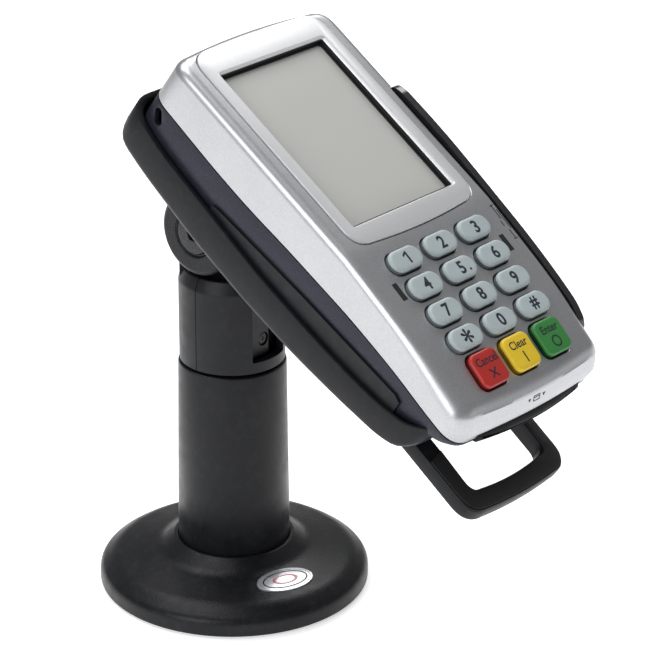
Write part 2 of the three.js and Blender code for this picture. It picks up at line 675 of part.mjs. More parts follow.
// ---- terminal shell ---------------------------------------------------------------------------
const displaySlope = Math.tan(THREE.MathUtils.degToRad(DISPLAY_TURN));
const keypadSlope = Math.tan(THREE.MathUtils.degToRad(KEYPAD_TURN));
const displaySurface = (s, depth) => DISPLAY_N + (s - DISPLAY_S) * displaySlope - depth;
const keypadSurface = (s, depth) => KEYPAD_N + (s - KEYPAD_S) * keypadSlope - KEY_HEIGHT - depth;
const FACE_BREAK = -20;
const KEYPAD_BREAK = -66.94;
const LOWER_END = [[-88.4, -4.7], [-91.4, -5.7], [-93.4, -8.2], [-95.4, -13.4]];
const facePoints = (depth, displayDepth = depth) => [
  [BODY_TOP + 1, displaySurface(BODY_TOP, 0.6) - displayDepth],
  [FACE_BREAK, displaySurface(FACE_BREAK, 0.6) - displayDepth],
  [FACE_BREAK - 0.6, keypadSurface(FACE_BREAK - 0.6, 0) - depth],
  [KEYPAD_BREAK, keypadSurface(KEYPAD_BREAK, 0) - depth],
  ...LOWER_END.map(([s, n]) => [s + depth, n - depth]),
];
const PARTING = [
  [BODY_BOTTOM - 2, -17.6], [-80, -17.6], [-60, -16.4], [-35, -16.6], [0, -19], [20, -21], [40, -21.8],
  [BODY_TOP + 2, -21.8],
];
const partingShift = (amount) => PARTING.map((p) => [p[0], p[1] + amount]);
const frontBlock = planSolid(0).intersect(solidOf(sidePrism([
  ...partingShift(SPLIT_GAP), ...facePoints(0),
], -50, 50)));
const frontCavity = planSolid(WALL).intersect(solidOf(sidePrism([
  [BODY_BOTTOM - 2, -30], [BODY_TOP + 2, -30],
  ...facePoints(COVER_PLATE, COVER_PLATE + 1.4),
], -50, 50)));
let frontCover = less(frontBlock, frontCavity);
const shoulderCut = (side, s0, s1, shoulder, place) => {
  const shape = closedShape([
    [side * (BODY_HALF_WIDTH + 1), 3], [side * (BODY_HALF_WIDTH - shoulder - 3), 3],
    [side * (BODY_HALF_WIDTH - shoulder), 0], [side * (BODY_HALF_WIDTH + 1), -shoulder - 1],
  ]);
  const geometry = prism(shape, s0, s1);
  geometry.rotateX(-Math.PI / 2);
  return place(geometry);
};
const displayShoulder = (geometry) => {
  geometry.applyMatrix4(new THREE.Matrix4().makeScale(1, 1, -1));
  return inPlane(geometry, DISPLAY_S, DISPLAY_N - 0.6, DISPLAY_TURN);
};
const keypadShoulder = (geometry) => {
  geometry.applyMatrix4(new THREE.Matrix4().makeScale(1, 1, -1));
  return inPlane(geometry, KEYPAD_S, KEYPAD_N - KEY_HEIGHT, KEYPAD_TURN);
};
const functionShoulder = (geometry) => {
  geometry.applyMatrix4(new THREE.Matrix4().makeScale(1, 1, -1));
  geometry.translate(0, 0, -KEY_HEIGHT);
  return onFunctionRow(geometry);
};
for (const side of [-1, 1]) {
  frontCover = less(
    frontCover,
    solidOf(shoulderCut(side, FACE_BREAK - DISPLAY_S - 0.3, 60, 3.2, displayShoulder)),
    solidOf(shoulderCut(side, KEYPAD_BREAK - KEYPAD_S, FACE_BREAK - KEYPAD_S + 0.3, 3.2, keypadShoulder)),
    solidOf(shoulderCut(side, -25, KEYPAD_BREAK - FUNCTION_S, 4.6, functionShoulder)),
  );
}
const bezelOutline = (growth) => {
  const half = BEZEL_HALF_WIDTH + growth;
  const top = 49.2 + growth;
  const low = -46.2 - growth;
  const bow = 2.4;
  const r = 9;
  const shape = new THREE.Shape();
  shape.moveTo(-half + r, low);
  shape.quadraticCurveTo(0, low - bow, half - r, low);
  shape.quadraticCurveTo(half, low, half, low + r);
  shape.lineTo(half, top - r);
  shape.quadraticCurveTo(half, top, half - r, top);
  shape.quadraticCurveTo(0, top + 1, -half + r, top);
  shape.quadraticCurveTo(-half, top, -half, top - r);
  shape.lineTo(-half, low + r);
  shape.quadraticCurveTo(-half, low, -half + r, low);
  return shape;
};
const apertureHole = (growth, low, high) => onDisplay(prism(
  roundedRect(APERTURE_WIDTH / 2 + growth, -APERTURE_LENGTH / 2 - growth, APERTURE_LENGTH / 2 + growth, 0.6),
  low, high,
));
frontCover = less(
  frontCover,
  solidOf(onDisplay(prism(bezelOutline(0.25), -BEZEL_THICKNESS - 0.02, 6, 5))),
  solidOf(apertureHole(2.2, -9, 3)),
);

const numberKeys = [
  ["key_1", 0, 0], ["key_2", 1, 0], ["key_3", 2, 0],
  ["key_4", 0, 1], ["key_5", 1, 1], ["key_6", 2, 1],
  ["key_7", 0, 2], ["key_8", 1, 2], ["key_9", 2, 2],
  ["key_star", 0, 3], ["key_0", 1, 3], ["key_hash", 2, 3],
];
const functionKeys = [
  ["key_cancel", -1, 0xb4281f], ["key_clear", 0, 0xe2bf20], ["key_enter", 1, 0x2e8a3a],
];
const keyShape = (width, length, growth, radius) => roundedRect(
  width / 2 + growth, -length / 2 - growth, length / 2 + growth, radius + growth,
);
const KEY_FLANGE_TOP = -KEY_HEIGHT - COVER_PLATE - 0.4;
const KEY_FLANGE_LOW = KEY_FLANGE_TOP - 0.8;
const KEY_FLANGE_EDGE = 0.35;
for (const [, column, row] of numberKeys) {
  const hole = prism(keyShape(KEY_WIDTH, KEY_LENGTH, 0.4, 4.4), -9, 4, 2);
  hole.translate((column - 1) * KEY_PITCH_X, -row * KEY_PITCH_S, 0);
  frontCover = less(frontCover, solidOf(onKeypad(hole)));
}
for (const [, side] of functionKeys) {
  const hole = prism(keyShape(FUNCTION_KEY_WIDTH, FUNCTION_KEY_LENGTH, 0.4, 3), -9, 4, 2);
  hole.translate(side * FUNCTION_KEY_PITCH, 0, 0);
  frontCover = less(frontCover, solidOf(onFunctionRow(hole)));
}
const railCut = solidOf(block(SWIPE_INNER, 50, RAIL_LOW_END - 0.3, RAIL_TOP_END + 0.3, -12, 10));
frontCover = less(frontCover, railCut);
const SLOT_HALF = 27;
const cardMouth = solidOf(block(-SLOT_HALF - 3.3, SLOT_HALF + 3.3, BODY_BOTTOM - 6, -88, -19.7, -13.9));
frontCover = less(frontCover, cardMouth);
const screwPost = (x, s) => {
  const geometry = ring(1.6, 3, -16.2, -5, SMALL_FACETS);
  geometry.translate(x, s, 0);
  return geometry;
};
const CASING_SCREWS = [[-36, 60], [36, 60]];
for (const [x, s] of CASING_SCREWS) {
  frontCover = joined(frontCover, solidOf(screwPost(x, s)));
}
addNode("front_cover", frontCover, SILVER, true);

const rearBlock = planSolid(0).intersect(solidOf(sidePrism([
  ...partingShift(-SPLIT_GAP).reverse(),
  ...CASING_UNDERSIDE.map((p) => [p[0], p[1] + 0.02]).reverse(),
], -50, 50)));
const rearCavity = planSolid(WALL).intersect(solidOf(sidePrism([
  [BODY_TOP - WALL, 0], [BODY_TOP - WALL, -32], [76, -36.5], [72.6, -39.6], [65.6, -41.2], [30, -42.6],
  [0, -41.8], [-25, -39.8], [-50, -36.2], [-67, -31.9], [-77, -26.6], [-87, -21.9], [-92, -20.4], [-92, 0],
], -50, 50)));
let rearCasing = less(rearBlock, rearCavity);
const lockSlot = () => {
  const geometry = prism(roundedRect(1.8, -3.4, 3.4, 1.6), -3, 3, 3);
  geometry.rotateY(Math.PI / 2);
  geometry.rotateX(THREE.MathUtils.degToRad(56));
  geometry.translate(-BODY_HALF_WIDTH, 69.8, -26.7);
  return geometry;
};
const HATCH = [24, 2, 44];
rearCasing = less(
  rearCasing,
  solidOf(lockSlot()),
  solidOf(prism(roundedRect(HATCH[0] + FIT_GAP, HATCH[1] - FIT_GAP, HATCH[2] + FIT_GAP, 3), -60, -30)),
  cardMouth,
);
const casingBoss = (x, s) => {
  const geometry = ring(1.9, 3.2, -43.2, -17.4, SMALL_FACETS);
  geometry.translate(x, s, 0);
  return geometry;
};
for (const [x, s] of CASING_SCREWS) {
  const bore = rod(1.9, -60, -10, SMALL_FACETS);
  bore.translate(x, s, 0);
  rearCasing = less(joined(rearCasing, solidOf(casingBoss(x, s))), solidOf(bore));
}
addNode("rear_casing", rearCasing, SLATE, true);
CASING_SCREWS.forEach(([x, s], i) => {
  const shank = rod(1.4, -40, -8, SMALL_FACETS);
  shank.translate(x, s, 0);
  const cap = rod(1.7, -42, -39.9, SMALL_FACETS);
  cap.translate(x, s, 0);
  addNode("casing_screw_" + (i + 1), joined(solidOf(shank), solidOf(cap)), STEEL, true);
});
addNode("rear_hatch", solidOf(prism(roundedRect(HATCH[0], HATCH[1], HATCH[2], 3), -60, -20))
  .intersect(solidOf(sidePrism([
    [50, -44.1], [30, -44.75], [0, -43.95], [0, -42.4], [30, -43.1], [50, -42.5],
  ], -40, 40))), SLATE, true);

// ---- display ----------------------------------------------------------------------------------
const bezelWindow = onDisplay(prism(
  roundedRect(APERTURE_WIDTH / 2, -APERTURE_LENGTH / 2, APERTURE_LENGTH / 2, 0.6), -6, 4,
));
addNode("display_bezel", less(
  solidOf(onDisplay(prism(bezelOutline(0), -BEZEL_THICKNESS, 0, 5))),
  solidOf(bezelWindow),
), PALE_SILVER, true);
addNode("display_lens", solidOf(onDisplay(block(
  -APERTURE_WIDTH / 2 - 1.8, APERTURE_WIDTH / 2 + 1.8,
  -APERTURE_LENGTH / 2 - 1.8, APERTURE_LENGTH / 2 + 1.8, -3.6, -2.6,
))), { color: 0xcdcdc7, roughness: 0.2, metalness: 0.0 }, true);
addNode("display_module", solidOf(onDisplay(block(
  -APERTURE_WIDTH / 2 - 3, APERTURE_WIDTH / 2 + 3,
  -APERTURE_LENGTH / 2 - 3, APERTURE_LENGTH / 2 + 3, -8.2, -4.8,
))), { color: 0x202226, roughness: 0.5, metalness: 0.2 }, true);

// ---- keypad -----------------------------------------------------------------------------------
for (const [name, column, row] of numberKeys) {
  const top = prism(keyShape(KEY_WIDTH - 0.8, KEY_LENGTH - 0.8, 0, 4), -0.6, 0, 2);
  const body = prism(keyShape(KEY_WIDTH, KEY_LENGTH, 0, 4.4), KEY_FLANGE_LOW, -0.5, 2);
  const flange = prism(
    roundedRect(KEY_WIDTH / 2 + 0.9, -KEY_LENGTH / 2 - KEY_FLANGE_EDGE, KEY_LENGTH / 2 + 0.9, 4),
    KEY_FLANGE_LOW, KEY_FLANGE_TOP, 1,
  );
  const parts = [top, body, flange].map((geometry) => {
    geometry.translate((column - 1) * KEY_PITCH_X, -row * KEY_PITCH_S, 0);
    return solidOf(onKeypad(geometry));
  });
  addNode(name, joined(...parts), KEY_GREY, true);
}
for (const [name, side, color] of functionKeys) {
  const top = prism(keyShape(FUNCTION_KEY_WIDTH - 1, FUNCTION_KEY_LENGTH - 1, 0, 2.6), -0.6, 0, 2);
  const body = prism(keyShape(FUNCTION_KEY_WIDTH, FUNCTION_KEY_LENGTH, 0, 3), KEY_FLANGE_LOW, -0.5, 2);
  const flange = prism(roundedRect(FUNCTION_KEY_WIDTH / 2 + 0.8, -FUNCTION_KEY_LENGTH / 2 - 0.8,
    FUNCTION_KEY_LENGTH / 2 + KEY_FLANGE_EDGE, 3), KEY_FLANGE_LOW, KEY_FLANGE_TOP, 1);
  const parts = [top, body, flange].map((geometry) => {
    geometry.translate(side * FUNCTION_KEY_PITCH, 0, 0);
    return solidOf(onFunctionRow(geometry));
  });
  addNode(name, joined(...parts), { color, roughness: 0.5, metalness: 0.0 }, true);
}
const MAT_TOP = KEY_FLANGE_LOW - 3.5;
addNode("keypad_mat", solidOf(onKeypad(block(-31, 31, -56, 7, MAT_TOP - 0.9, MAT_TOP))), RUBBER, true);
addNode("keypad_board", solidOf(onKeypad(block(-32, 32, -57, 9, MAT_TOP - 2.3, MAT_TOP - 0.92))),
  BOARD_GREEN, true);

// ---- card readers and electronics --------------------------------------------------------------
const READER_TOP = -15.1;
const READER_LOW = -19.2;
addNode("chip_card_reader", less(
  solidOf(block(-31.4, 31.4, -90.6, -44, READER_LOW, READER_TOP)),
  solidOf(block(-27.4, 27.4, -95, -46, -17.4, -16.4)),
), { color: 0x2b2c30, roughness: 0.6, metalness: 0.0 }, true);
const lipOutline = new THREE.Shape();
lipOutline.moveTo(-SLOT_HALF - 2.9, -90.8);
lipOutline.lineTo(-SLOT_HALF - 2.9, -95.6);
lipOutline.quadraticCurveTo(0, -100.4, SLOT_HALF + 2.9, -95.6);
lipOutline.lineTo(SLOT_HALF + 2.9, -90.8);
lipOutline.closePath();
addNode("card_slot_lip", less(
  solidOf(prism(lipOutline, -19.4, -14.2, 10)),
  solidOf(block(-27.4, 27.4, -110, -80, -17.5, -16.3)),
), { color: 0x232327, roughness: 0.35, metalness: 0.0 }, true);
const railTop = [
  [RAIL_TOP_END, -3], [34.6, -1], [31, 0.1], [18, 0.8], [5, 1.1], [-13, 0.8], [-37, 0.2], [-49, -0.5],
  [-61, -1.6], [-71, -2.9], [-77, -5.2], [-79.4, -7.6], [RAIL_LOW_END, -9.6],
];
const stripeHeadPocket = solidOf(block(
  SWIPE_INNER + SWIPE_WIDTH - 1, SWIPE_INNER + SWIPE_WIDTH + 2.2, -43.4, -34.6, -9, -3,
));
addNode("stripe_rail", joined(
  solidOf(sidePrism([...railTop, [RAIL_LOW_END, -11.7], [RAIL_TOP_END, -11.7]],
    SWIPE_INNER + SWIPE_WIDTH, RAIL_OUTER)),
  solidOf(block(SWIPE_INNER + 0.3, RAIL_OUTER, RAIL_LOW_END, RAIL_TOP_END, -11.7, -9.9)),
).subtract(stripeHeadPocket), { color: 0x2a2a2f, roughness: 0.3, metalness: 0.0 }, true);
addNode("stripe_head", solidOf(block(SWIPE_INNER + SWIPE_WIDTH - 0.5, SWIPE_INNER + SWIPE_WIDTH + 1.2,
  -43, -35, -8.6, -3.4)), { color: 0xc8a24a, roughness: 0.3, metalness: 1.0 }, true);
addNode("main_board", solidOf(block(-36, 36, -36, 56, -15.4, -13.8)), BOARD_GREEN, true);
const speakerCan = rod(8, -18, -12, 20);
speakerCan.translate(20, 66, 0);
addNode("speaker", solidOf(speakerCan), { color: 0x1c1c1e, roughness: 0.6, metalness: 0.1 }, true);
addNode("cable_socket", less(
  solidOf(block(-12, 12, 24, 40, -28, -15.42)),
  solidOf(block(-9, 9, 20, 36, -26, -18)),
), { color: 0xe6e6e2, roughness: 0.5, metalness: 0.0 }, true);

export default group;
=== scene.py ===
import json
import math

import bmesh
import bpy
from mathutils import Matrix, Vector


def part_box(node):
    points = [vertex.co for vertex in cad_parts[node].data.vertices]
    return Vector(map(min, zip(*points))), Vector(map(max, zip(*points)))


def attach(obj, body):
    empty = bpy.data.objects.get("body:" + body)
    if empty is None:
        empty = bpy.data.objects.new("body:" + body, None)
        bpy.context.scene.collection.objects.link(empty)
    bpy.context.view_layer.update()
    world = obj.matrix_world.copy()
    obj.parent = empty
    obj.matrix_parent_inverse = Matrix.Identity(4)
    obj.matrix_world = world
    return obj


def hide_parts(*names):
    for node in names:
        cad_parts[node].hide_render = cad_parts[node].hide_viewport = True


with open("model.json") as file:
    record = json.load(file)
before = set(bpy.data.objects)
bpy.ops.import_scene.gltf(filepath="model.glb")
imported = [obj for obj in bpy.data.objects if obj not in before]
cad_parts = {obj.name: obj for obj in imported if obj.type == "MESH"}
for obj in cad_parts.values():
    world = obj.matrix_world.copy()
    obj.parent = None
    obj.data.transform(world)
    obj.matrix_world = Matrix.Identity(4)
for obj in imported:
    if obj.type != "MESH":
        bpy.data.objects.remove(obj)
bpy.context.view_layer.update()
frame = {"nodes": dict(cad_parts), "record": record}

# Lengths are millimetres until a piece is finished, and metres after that.
MM = 0.001

# ---- camera --------------------------------------------------------------------------------------
CAMERA_PLACE = (-0.78428, -0.71935, 0.57511)
CAMERA_AZIMUTH = -49.39
CAMERA_ELEVATION = 23.71
CAMERA_ROLL = 0.19
CAMERA_LENS = 167.8


def make_camera():
    a, e, r = (math.radians(v) for v in (CAMERA_AZIMUTH, CAMERA_ELEVATION, CAMERA_ROLL))
    right = Vector((math.cos(a), math.sin(a), 0))
    up = Vector((-math.sin(a) * math.sin(e), math.cos(a) * math.sin(e), math.cos(e)))
    back = right.cross(up)
    rolled_right = right * math.cos(r) + up * math.sin(r)
    rolled_up = up * math.cos(r) - right * math.sin(r)
    data = bpy.data.cameras.new("camera")
    data.lens = CAMERA_LENS
    data.sensor_width = 36
    data.clip_start = 0.05
    data.clip_end = 50
    camera = bpy.data.objects.new("camera", data)
    turn = Matrix((rolled_right, rolled_up, back)).transposed().to_4x4()
    camera.matrix_world = Matrix.Translation(CAMERA_PLACE) @ turn
    bpy.context.scene.collection.objects.link(camera)
    bpy.context.scene.camera = camera


make_camera()

# ---- the frames the CAD is built in --------------------------------------------------------------
joints = {j["name"]: j for j in frame["record"]["behaviour"]["joints"]}
PIVOT = Vector(joints["tilt"]["pos_m"]) / MM
# In the head's own frame s runs up the terminal's face and n stands out of it.
HEAD_TILT = 36
PIVOT_S, PIVOT_N = 41.04, -71.11
HEAD = (Matrix.Translation(PIVOT) @ Matrix.Rotation(math.radians(HEAD_TILT), 4, "X")
        @ Matrix.Translation((0, -PIVOT_S, -PIVOT_N)))
DISPLAY_S, DISPLAY_N, DISPLAY_LEAN = 27.03, -0.45, -2.25
KEYPAD_S, KEYPAD_N, KEYPAD_LEAN = -30.46, 2.96, 2.75
FUNCTION_S, FUNCTION_N, FUNCTION_LEAN = -78.96, -0.61, 8.75


def on_face(s, n, lean):
    return HEAD @ Matrix.Translation((0, s, n)) @ Matrix.Rotation(math.radians(lean), 4, "X")


DISPLAY = on_face(DISPLAY_S, DISPLAY_N, DISPLAY_LEAN)
KEYPAD = on_face(KEYPAD_S, KEYPAD_N, KEYPAD_LEAN)
FUNCTION_ROW = on_face(FUNCTION_S, FUNCTION_N, FUNCTION_LEAN)
WORLD_FRAME = Matrix.Identity(4)
AT_PIVOT = HEAD @ Matrix.Translation((0, PIVOT_S, PIVOT_N))
# Turned shapes are made along z; this lays them along x.
ALONG_X = Matrix.Rotation(math.radians(90), 4, "Y")


def top_of(node):
    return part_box(node)[1][2] / MM


def half_width(node):
    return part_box(node)[1][0] / MM


# ---- materials -----------------------------------------------------------------------------------
def make_look(name, color, rough, metal=0.0, specular=0.5, coat=0.0, fleck=0.0, fleck_size=0.25,
              mottle=0.08, mottle_size=14.0, grain=0.05, grain_size=0.5, rough_spread=0.06,
              dust=0.0, subsurface=0.0):
    """A moulded, painted or cast finish: mottled colour, flecks, uneven gloss and a fine grain."""
    material = bpy.data.materials.new(name)
    material.use_nodes = True
    nodes, links = material.node_tree.nodes, material.node_tree.links
    shader = nodes["Principled BSDF"]
    shader.inputs["Metallic"].default_value = metal
    shader.inputs["Specular IOR Level"].default_value = specular
    shader.inputs["Coat Weight"].default_value = coat
    shader.inputs["Coat Roughness"].default_value = 0.12
    shader.inputs["Subsurface Weight"].default_value = subsurface
    shader.inputs["Subsurface Scale"].default_value = 0.002
    where = nodes.new("ShaderNodeTexCoord").outputs["Object"]

    def noise(size_mm, detail=3.0):
        node = nodes.new("ShaderNodeTexNoise")
        node.inputs["Scale"].default_value = 1 / (size_mm * MM)
        node.inputs["Detail"].default_value = detail
        links.new(where, node.inputs["Vector"])
        return node.outputs["Fac"]

    def spread(value, low, high, from_low=0.3, from_high=0.7):
        node = nodes.new("ShaderNodeMapRange")
        node.inputs["From Min"].default_value = from_low
        node.inputs["From Max"].default_value = from_high
        node.inputs["To Min"].default_value = low
        node.inputs["To Max"].default_value = high
        links.new(value, node.inputs["Value"])
        return node.outputs["Result"]

    def times(a, b):
        node = nodes.new("ShaderNodeMath")
        node.operation = "MULTIPLY"
        links.new(a, node.inputs[0])
        links.new(b, node.inputs[1])
        return node.outputs["Value"]

    bright = spread(noise(mottle_size), 1 - mottle, 1 + mottle)
    if fleck:
        cells = nodes.new("ShaderNodeTexVoronoi")
        cells.inputs["Scale"].default_value = 1 / (fleck_size * MM)
        links.new(where, cells.inputs["Vector"])
        split = nodes.new("ShaderNodeSeparateColor")
        links.new(cells.outputs["Color"], split.inputs["Color"])
        bright = times(bright, spread(split.outputs["Red"], 1 - fleck * 0.45, 1 + fleck, 0.35, 1.0))
    scaled = nodes.new("ShaderNodeVectorMath")
    scaled.operation = "SCALE"
    scaled.inputs[0].default_value = color
    links.new(bright, scaled.inputs["Scale"])
    tint = scaled.outputs["Vector"]
    if dust:
        mix = nodes.new("ShaderNodeMix")
        mix.data_type = "RGBA"
        links.new(spread(noise(3.0, 8.0), 0.0, dust, 0.5, 0.8), mix.inputs["Factor"])
        links.new(tint, mix.inputs[6])
        mix.inputs[7].default_value = (0.3, 0.3, 0.31, 1)
        tint = mix.outputs[2]
    links.new(tint, shader.inputs["Base Color"])
    links.new(spread(noise(mottle_size * 0.4, 5.0), rough - rough_spread, rough + rough_spread),
              shader.inputs["Roughness"])
    bump = nodes.new("ShaderNodeBump")
    bump.inputs["Strength"].default_value = grain
    bump.inputs["Distance"].default_value = grain_size * MM * 0.4
    links.new(noise(grain_size, 2.0), bump.inputs["Height"])
    links.new(bump.outputs["Normal"], shader.inputs["Normal"])
    return material


LOOKS = {
    "base_paint": make_look("base_powder_coat", (0.008, 0.0085, 0.0105), 0.36, specular=0.25,
                            grain=0.35, grain_size=0.7, rough_spread=0.05, dust=0.03),
    "pole_paint": make_look("pole_satin_paint", (0.007, 0.0075, 0.0095), 0.34, specular=0.25,
                            grain=0.10, grain_size=0.9, dust=0.02),
    "stand_plastic": make_look("charcoal_moulded_plastic", (0.009, 0.0095, 0.012), 0.40, specular=0.25,
                               grain=0.30, grain_size=0.35, dust=0.02),
    "hinge_casting": make_look("coated_casting", (0.011, 0.0115, 0.0135), 0.42, specular=0.3, metal=0.2,
                               grain=0.45, grain_size=0.6, fleck=0.9, fleck_size=0.35),
    "foot_rubber": make_look("foot_rubber", (0.012, 0.012, 0.013), 0.85, grain=0.3),
    "grip_rubber": make_look("grip_rubber", (0.009, 0.009, 0.010), 0.55, grain=0.5, grain_size=0.3),
    "steel": make_look("zinc_steel", (0.30, 0.30, 0.31), 0.34, metal=1.0, grain=0.2, grain_size=0.3,
                       rough_spread=0.1),
    "bolt_black": make_look("blackened_steel", (0.035, 0.035, 0.038), 0.38, metal=0.6, fleck=0.8,
                            fleck_size=0.3, grain=0.3, grain_size=0.4),
    "bearing_plastic": make_look("bearing_plastic", (0.66, 0.64, 0.58), 0.5),
    "cover_silver": make_look("silver_metallic_paint", (0.51, 0.515, 0.535), 0.33, metal=0.84,
                              fleck=0.14, fleck_size=0.2, grain=0.03, grain_size=0.3, mottle=0.02,
                              rough_spread=0.01),
    "bezel_silver": make_look("pale_silver_paint", (0.70, 0.705, 0.72), 0.36, metal=0.45,
                              fleck=0.06, fleck_size=0.2, grain=0.02, grain_size=0.3, mottle=0.01,
                              rough_spread=0.01),
    "casing_slate": make_look("slate_metallic_paint", (0.024, 0.026, 0.040), 0.40, metal=0.3, fleck=0.6,
                              fleck_size=0.2, grain=0.12, grain_size=0.3, mottle=0.06),
    "rail_gloss": make_look("dark_gloss_plastic", (0.018, 0.018, 0.021), 0.20, coat=0.3, grain=0.03),
    "reader_plastic": make_look("black_plastic", (0.014, 0.014, 0.016), 0.5),
    "lip_plastic": make_look("card_lip_plastic", (0.009, 0.009, 0.011), 0.6, specular=0.2, grain=0.2),
    "display_black": make_look("black_mask", (0.006, 0.006, 0.007), 0.5, grain=0.1),
    "display_glass": make_look("grey_screen", (0.52, 0.52, 0.50), 0.30, specular=0.4, rough_spread=0.02,
                               mottle=0.015, mottle_size=50, grain=0.01),
    "board_green": make_look("circuit_board", (0.012, 0.09, 0.035), 0.45, fleck=0.3, fleck_size=1.5),
    "mat_rubber": make_look("silicone", (0.02, 0.02, 0.022), 0.7),
    "head_metal": make_look("read_head_metal", (0.58, 0.42, 0.16), 0.3, metal=1.0),
    "socket_white": make_look("connector_plastic", (0.72, 0.72, 0.69), 0.5),
    "key_grey": make_look("pale_grey_keys", (0.42, 0.485, 0.50), 0.42, mottle=0.03, grain=0.12,
                          grain_size=0.25, subsurface=0.15),
    "key_red": make_look("red_key", (0.44, 0.024, 0.018), 0.40, mottle=0.04, grain=0.12,
                         grain_size=0.25),
    "key_yellow": make_look("yellow_key", (0.80, 0.56, 0.025), 0.40, mottle=0.04, grain=0.12,
                            grain_size=0.25),
    "key_green": make_look("green_key", (0.035, 0.22, 0.045), 0.40, mottle=0.04, grain=0.12,
                           grain_size=0.25),
    # The keys' side walls take darker copies of the key colours: painted shade down the sides under the
    # caps.
    "skirt_grey": make_look("key_skirt", (0.13, 0.15, 0.155), 0.35, mottle=0.05, grain=0.1),
    "skirt_red": make_look("red_key_skirt", (0.10, 0.006, 0.005), 0.35, mottle=0.05, grain=0.1),
    "skirt_yellow": make_look("yellow_key_skirt", (0.22, 0.13, 0.006), 0.35, mottle=0.05, grain=0.1),
    "skirt_green": make_look("green_key_skirt", (0.008, 0.05, 0.012), 0.35, mottle=0.05, grain=0.1),
    "ink": make_look("dark_print", (0.012, 0.014, 0.028), 0.5, grain=0.05),
    "badge": make_look("silver_label", (0.45, 0.46, 0.48), 0.25, metal=0.5, coat=0.6, mottle=0.03),
    "badge_red": make_look("label_print", (0.42, 0.03, 0.03), 0.35, coat=0.6),
}


# ---- mesh tools ----------------------------------------------------------------------------------
def raw(verts, faces, where=WORLD_FRAME):
    """A closed mesh in millimetres, turned so its faces look outwards."""
    mesh = bpy.data.meshes.new("raw")
    mesh.from_pydata([tuple(v) for v in verts], [], faces)
    mesh.transform(where)
    shape = bmesh.new()
    shape.from_mesh(mesh)
    bmesh.ops.remove_doubles(shape, verts=shape.verts, dist=1e-5)
    bmesh.ops.recalc_face_normals(shape, faces=shape.faces)
    shape.to_mesh(mesh)
    shape.free()
    obj = bpy.data.objects.new("raw", mesh)
    bpy.context.scene.collection.objects.link(obj)
    return obj


def boolean(obj, other, operation):
    modifier = obj.modifiers.new("boolean", "BOOLEAN")
    modifier.object = other
    modifier.operation = operation
    modifier.solver = "EXACT"
    graph = bpy.context.evaluated_depsgraph_get()
    mesh = bpy.data.meshes.new_from_object(obj.evaluated_get(graph))
    obj.modifiers.clear()
    obj.data = mesh
    bpy.data.objects.remove(other)
    return obj


def cut(obj, *others):
    for other in others:
        boolean(obj, other, "DIFFERENCE")
    return obj


def keep(obj, other):
    return boolean(obj, other, "INTERSECT")


def weld(obj, *others):
    for other in others:
        boolean(obj, other, "UNION")
    return obj


def finish(obj, name, body, slot, stands_for=(), look=None, bevel=0.0, sharp=32):
    """Names the shape, brings it to metres and gives it its body, the finish its slot or look names,
    and softened edges.
    """
    obj.name = name
    obj.data.name = name
    obj.data.transform(Matrix.Scale(MM, 4))
    obj.data.materials.clear()
    obj.data.materials.append(LOOKS[look or slot])
    obj.data.polygons.foreach_set("use_smooth", [True] * len(obj.data.polygons))
    obj.data.set_sharp_from_angle(angle=math.radians(sharp))
    if bevel:
        modifier = obj.modifiers.new("bevel", "BEVEL")
        modifier.width = bevel * MM
        modifier.segments = 3
        modifier.limit_method = "ANGLE"
        modifier.angle_limit = math.radians(35)
        modifier.harden_normals = True
    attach(obj, body)
    if stands_for:
        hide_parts(*stands_for)
    return obj


def rings(loops, where=WORLD_FRAME, strips=False):
    """Joins loops of points into a closed skin; strips=True closes the ends with rows across x."""
    count = len(loops[0])
    verts = [p for loop in loops for p in loop]
    faces = []
    for k in range(len(loops) - 1):
        a, b = k * count, (k + 1) * count
        for i in range(count):
            j = (i + 1) % count
            faces.append((a + i, a + j, b + j, b + i))
    for start in (0, (len(loops) - 1) * count):
        if strips:
            for i in range(count // 2):
                row = [i, i + 1, (count - i - 1) % count, (count - i) % count]
                faces.append([start + v for v in dict.fromkeys(row)])
        else:
            faces.append([start + i for i in range(count)])
    return raw(verts, faces, where)


def turned(profile, where=WORLD_FRAME, segments=128):
    """Turns (radius, height) pairs about z; a profile that starts off the axis is a closed ring."""
    is_ring = profile[0][0] > 0
    verts, faces, rows = [], [], []
    for radius, height in profile:
        if radius == 0:
            rows.append([len(verts)] * segments)
            verts.append((0, 0, height))
            continue
        rows.append(list(range(len(verts), len(verts) + segments)))
        for i in range(segments):
            angle = 2 * math.pi * i / segments
            verts.append((radius * math.cos(angle), radius * math.sin(angle), height))
    if is_ring:
        rows.append(rows[0])
    for low, high in zip(rows, rows[1:]):
        for i in range(segments):
            j = (i + 1) % segments
            face = list(dict.fromkeys([low[i], low[j], high[j], high[i]]))
            if len(face) > 2:
                faces.append(face)
    return raw(verts, faces, where)


def softened(points, radius, closed=False, steps=5):
    """The same line of points with its inner corners rounded."""
    points = [Vector(p) for p in points]
    count = len(points)
    result = []
    for i, corner in enumerate(points):
        if not closed and i in (0, count - 1):
            result.append(tuple(corner))
            continue
        before, after = points[i - 1] - corner, points[(i + 1) % count] - corner
        reach = min(radius, before.length * 0.45, after.length * 0.45)
        start = corner + before.normalized() * reach
        end = corner + after.normalized() * reach
        for k in range(steps + 1):
            t = k / steps
            result.append(tuple(start * (1 - t) ** 2 + corner * 2 * t * (1 - t) + end * t * t))
    return result


def prism(points, low, high, where=WORLD_FRAME):
    """A flat outline of (x, y) pairs raised from low to high."""
    return rings([[(x, y, low) for x, y in points], [(x, y, high) for x, y in points]], where)


def side_prism(points, low, high, where=HEAD):
    """A side outline of (s, n) pairs carried across x."""
    return rings([[(low, s, n) for s, n in points], [(high, s, n) for s, n in points]], where)


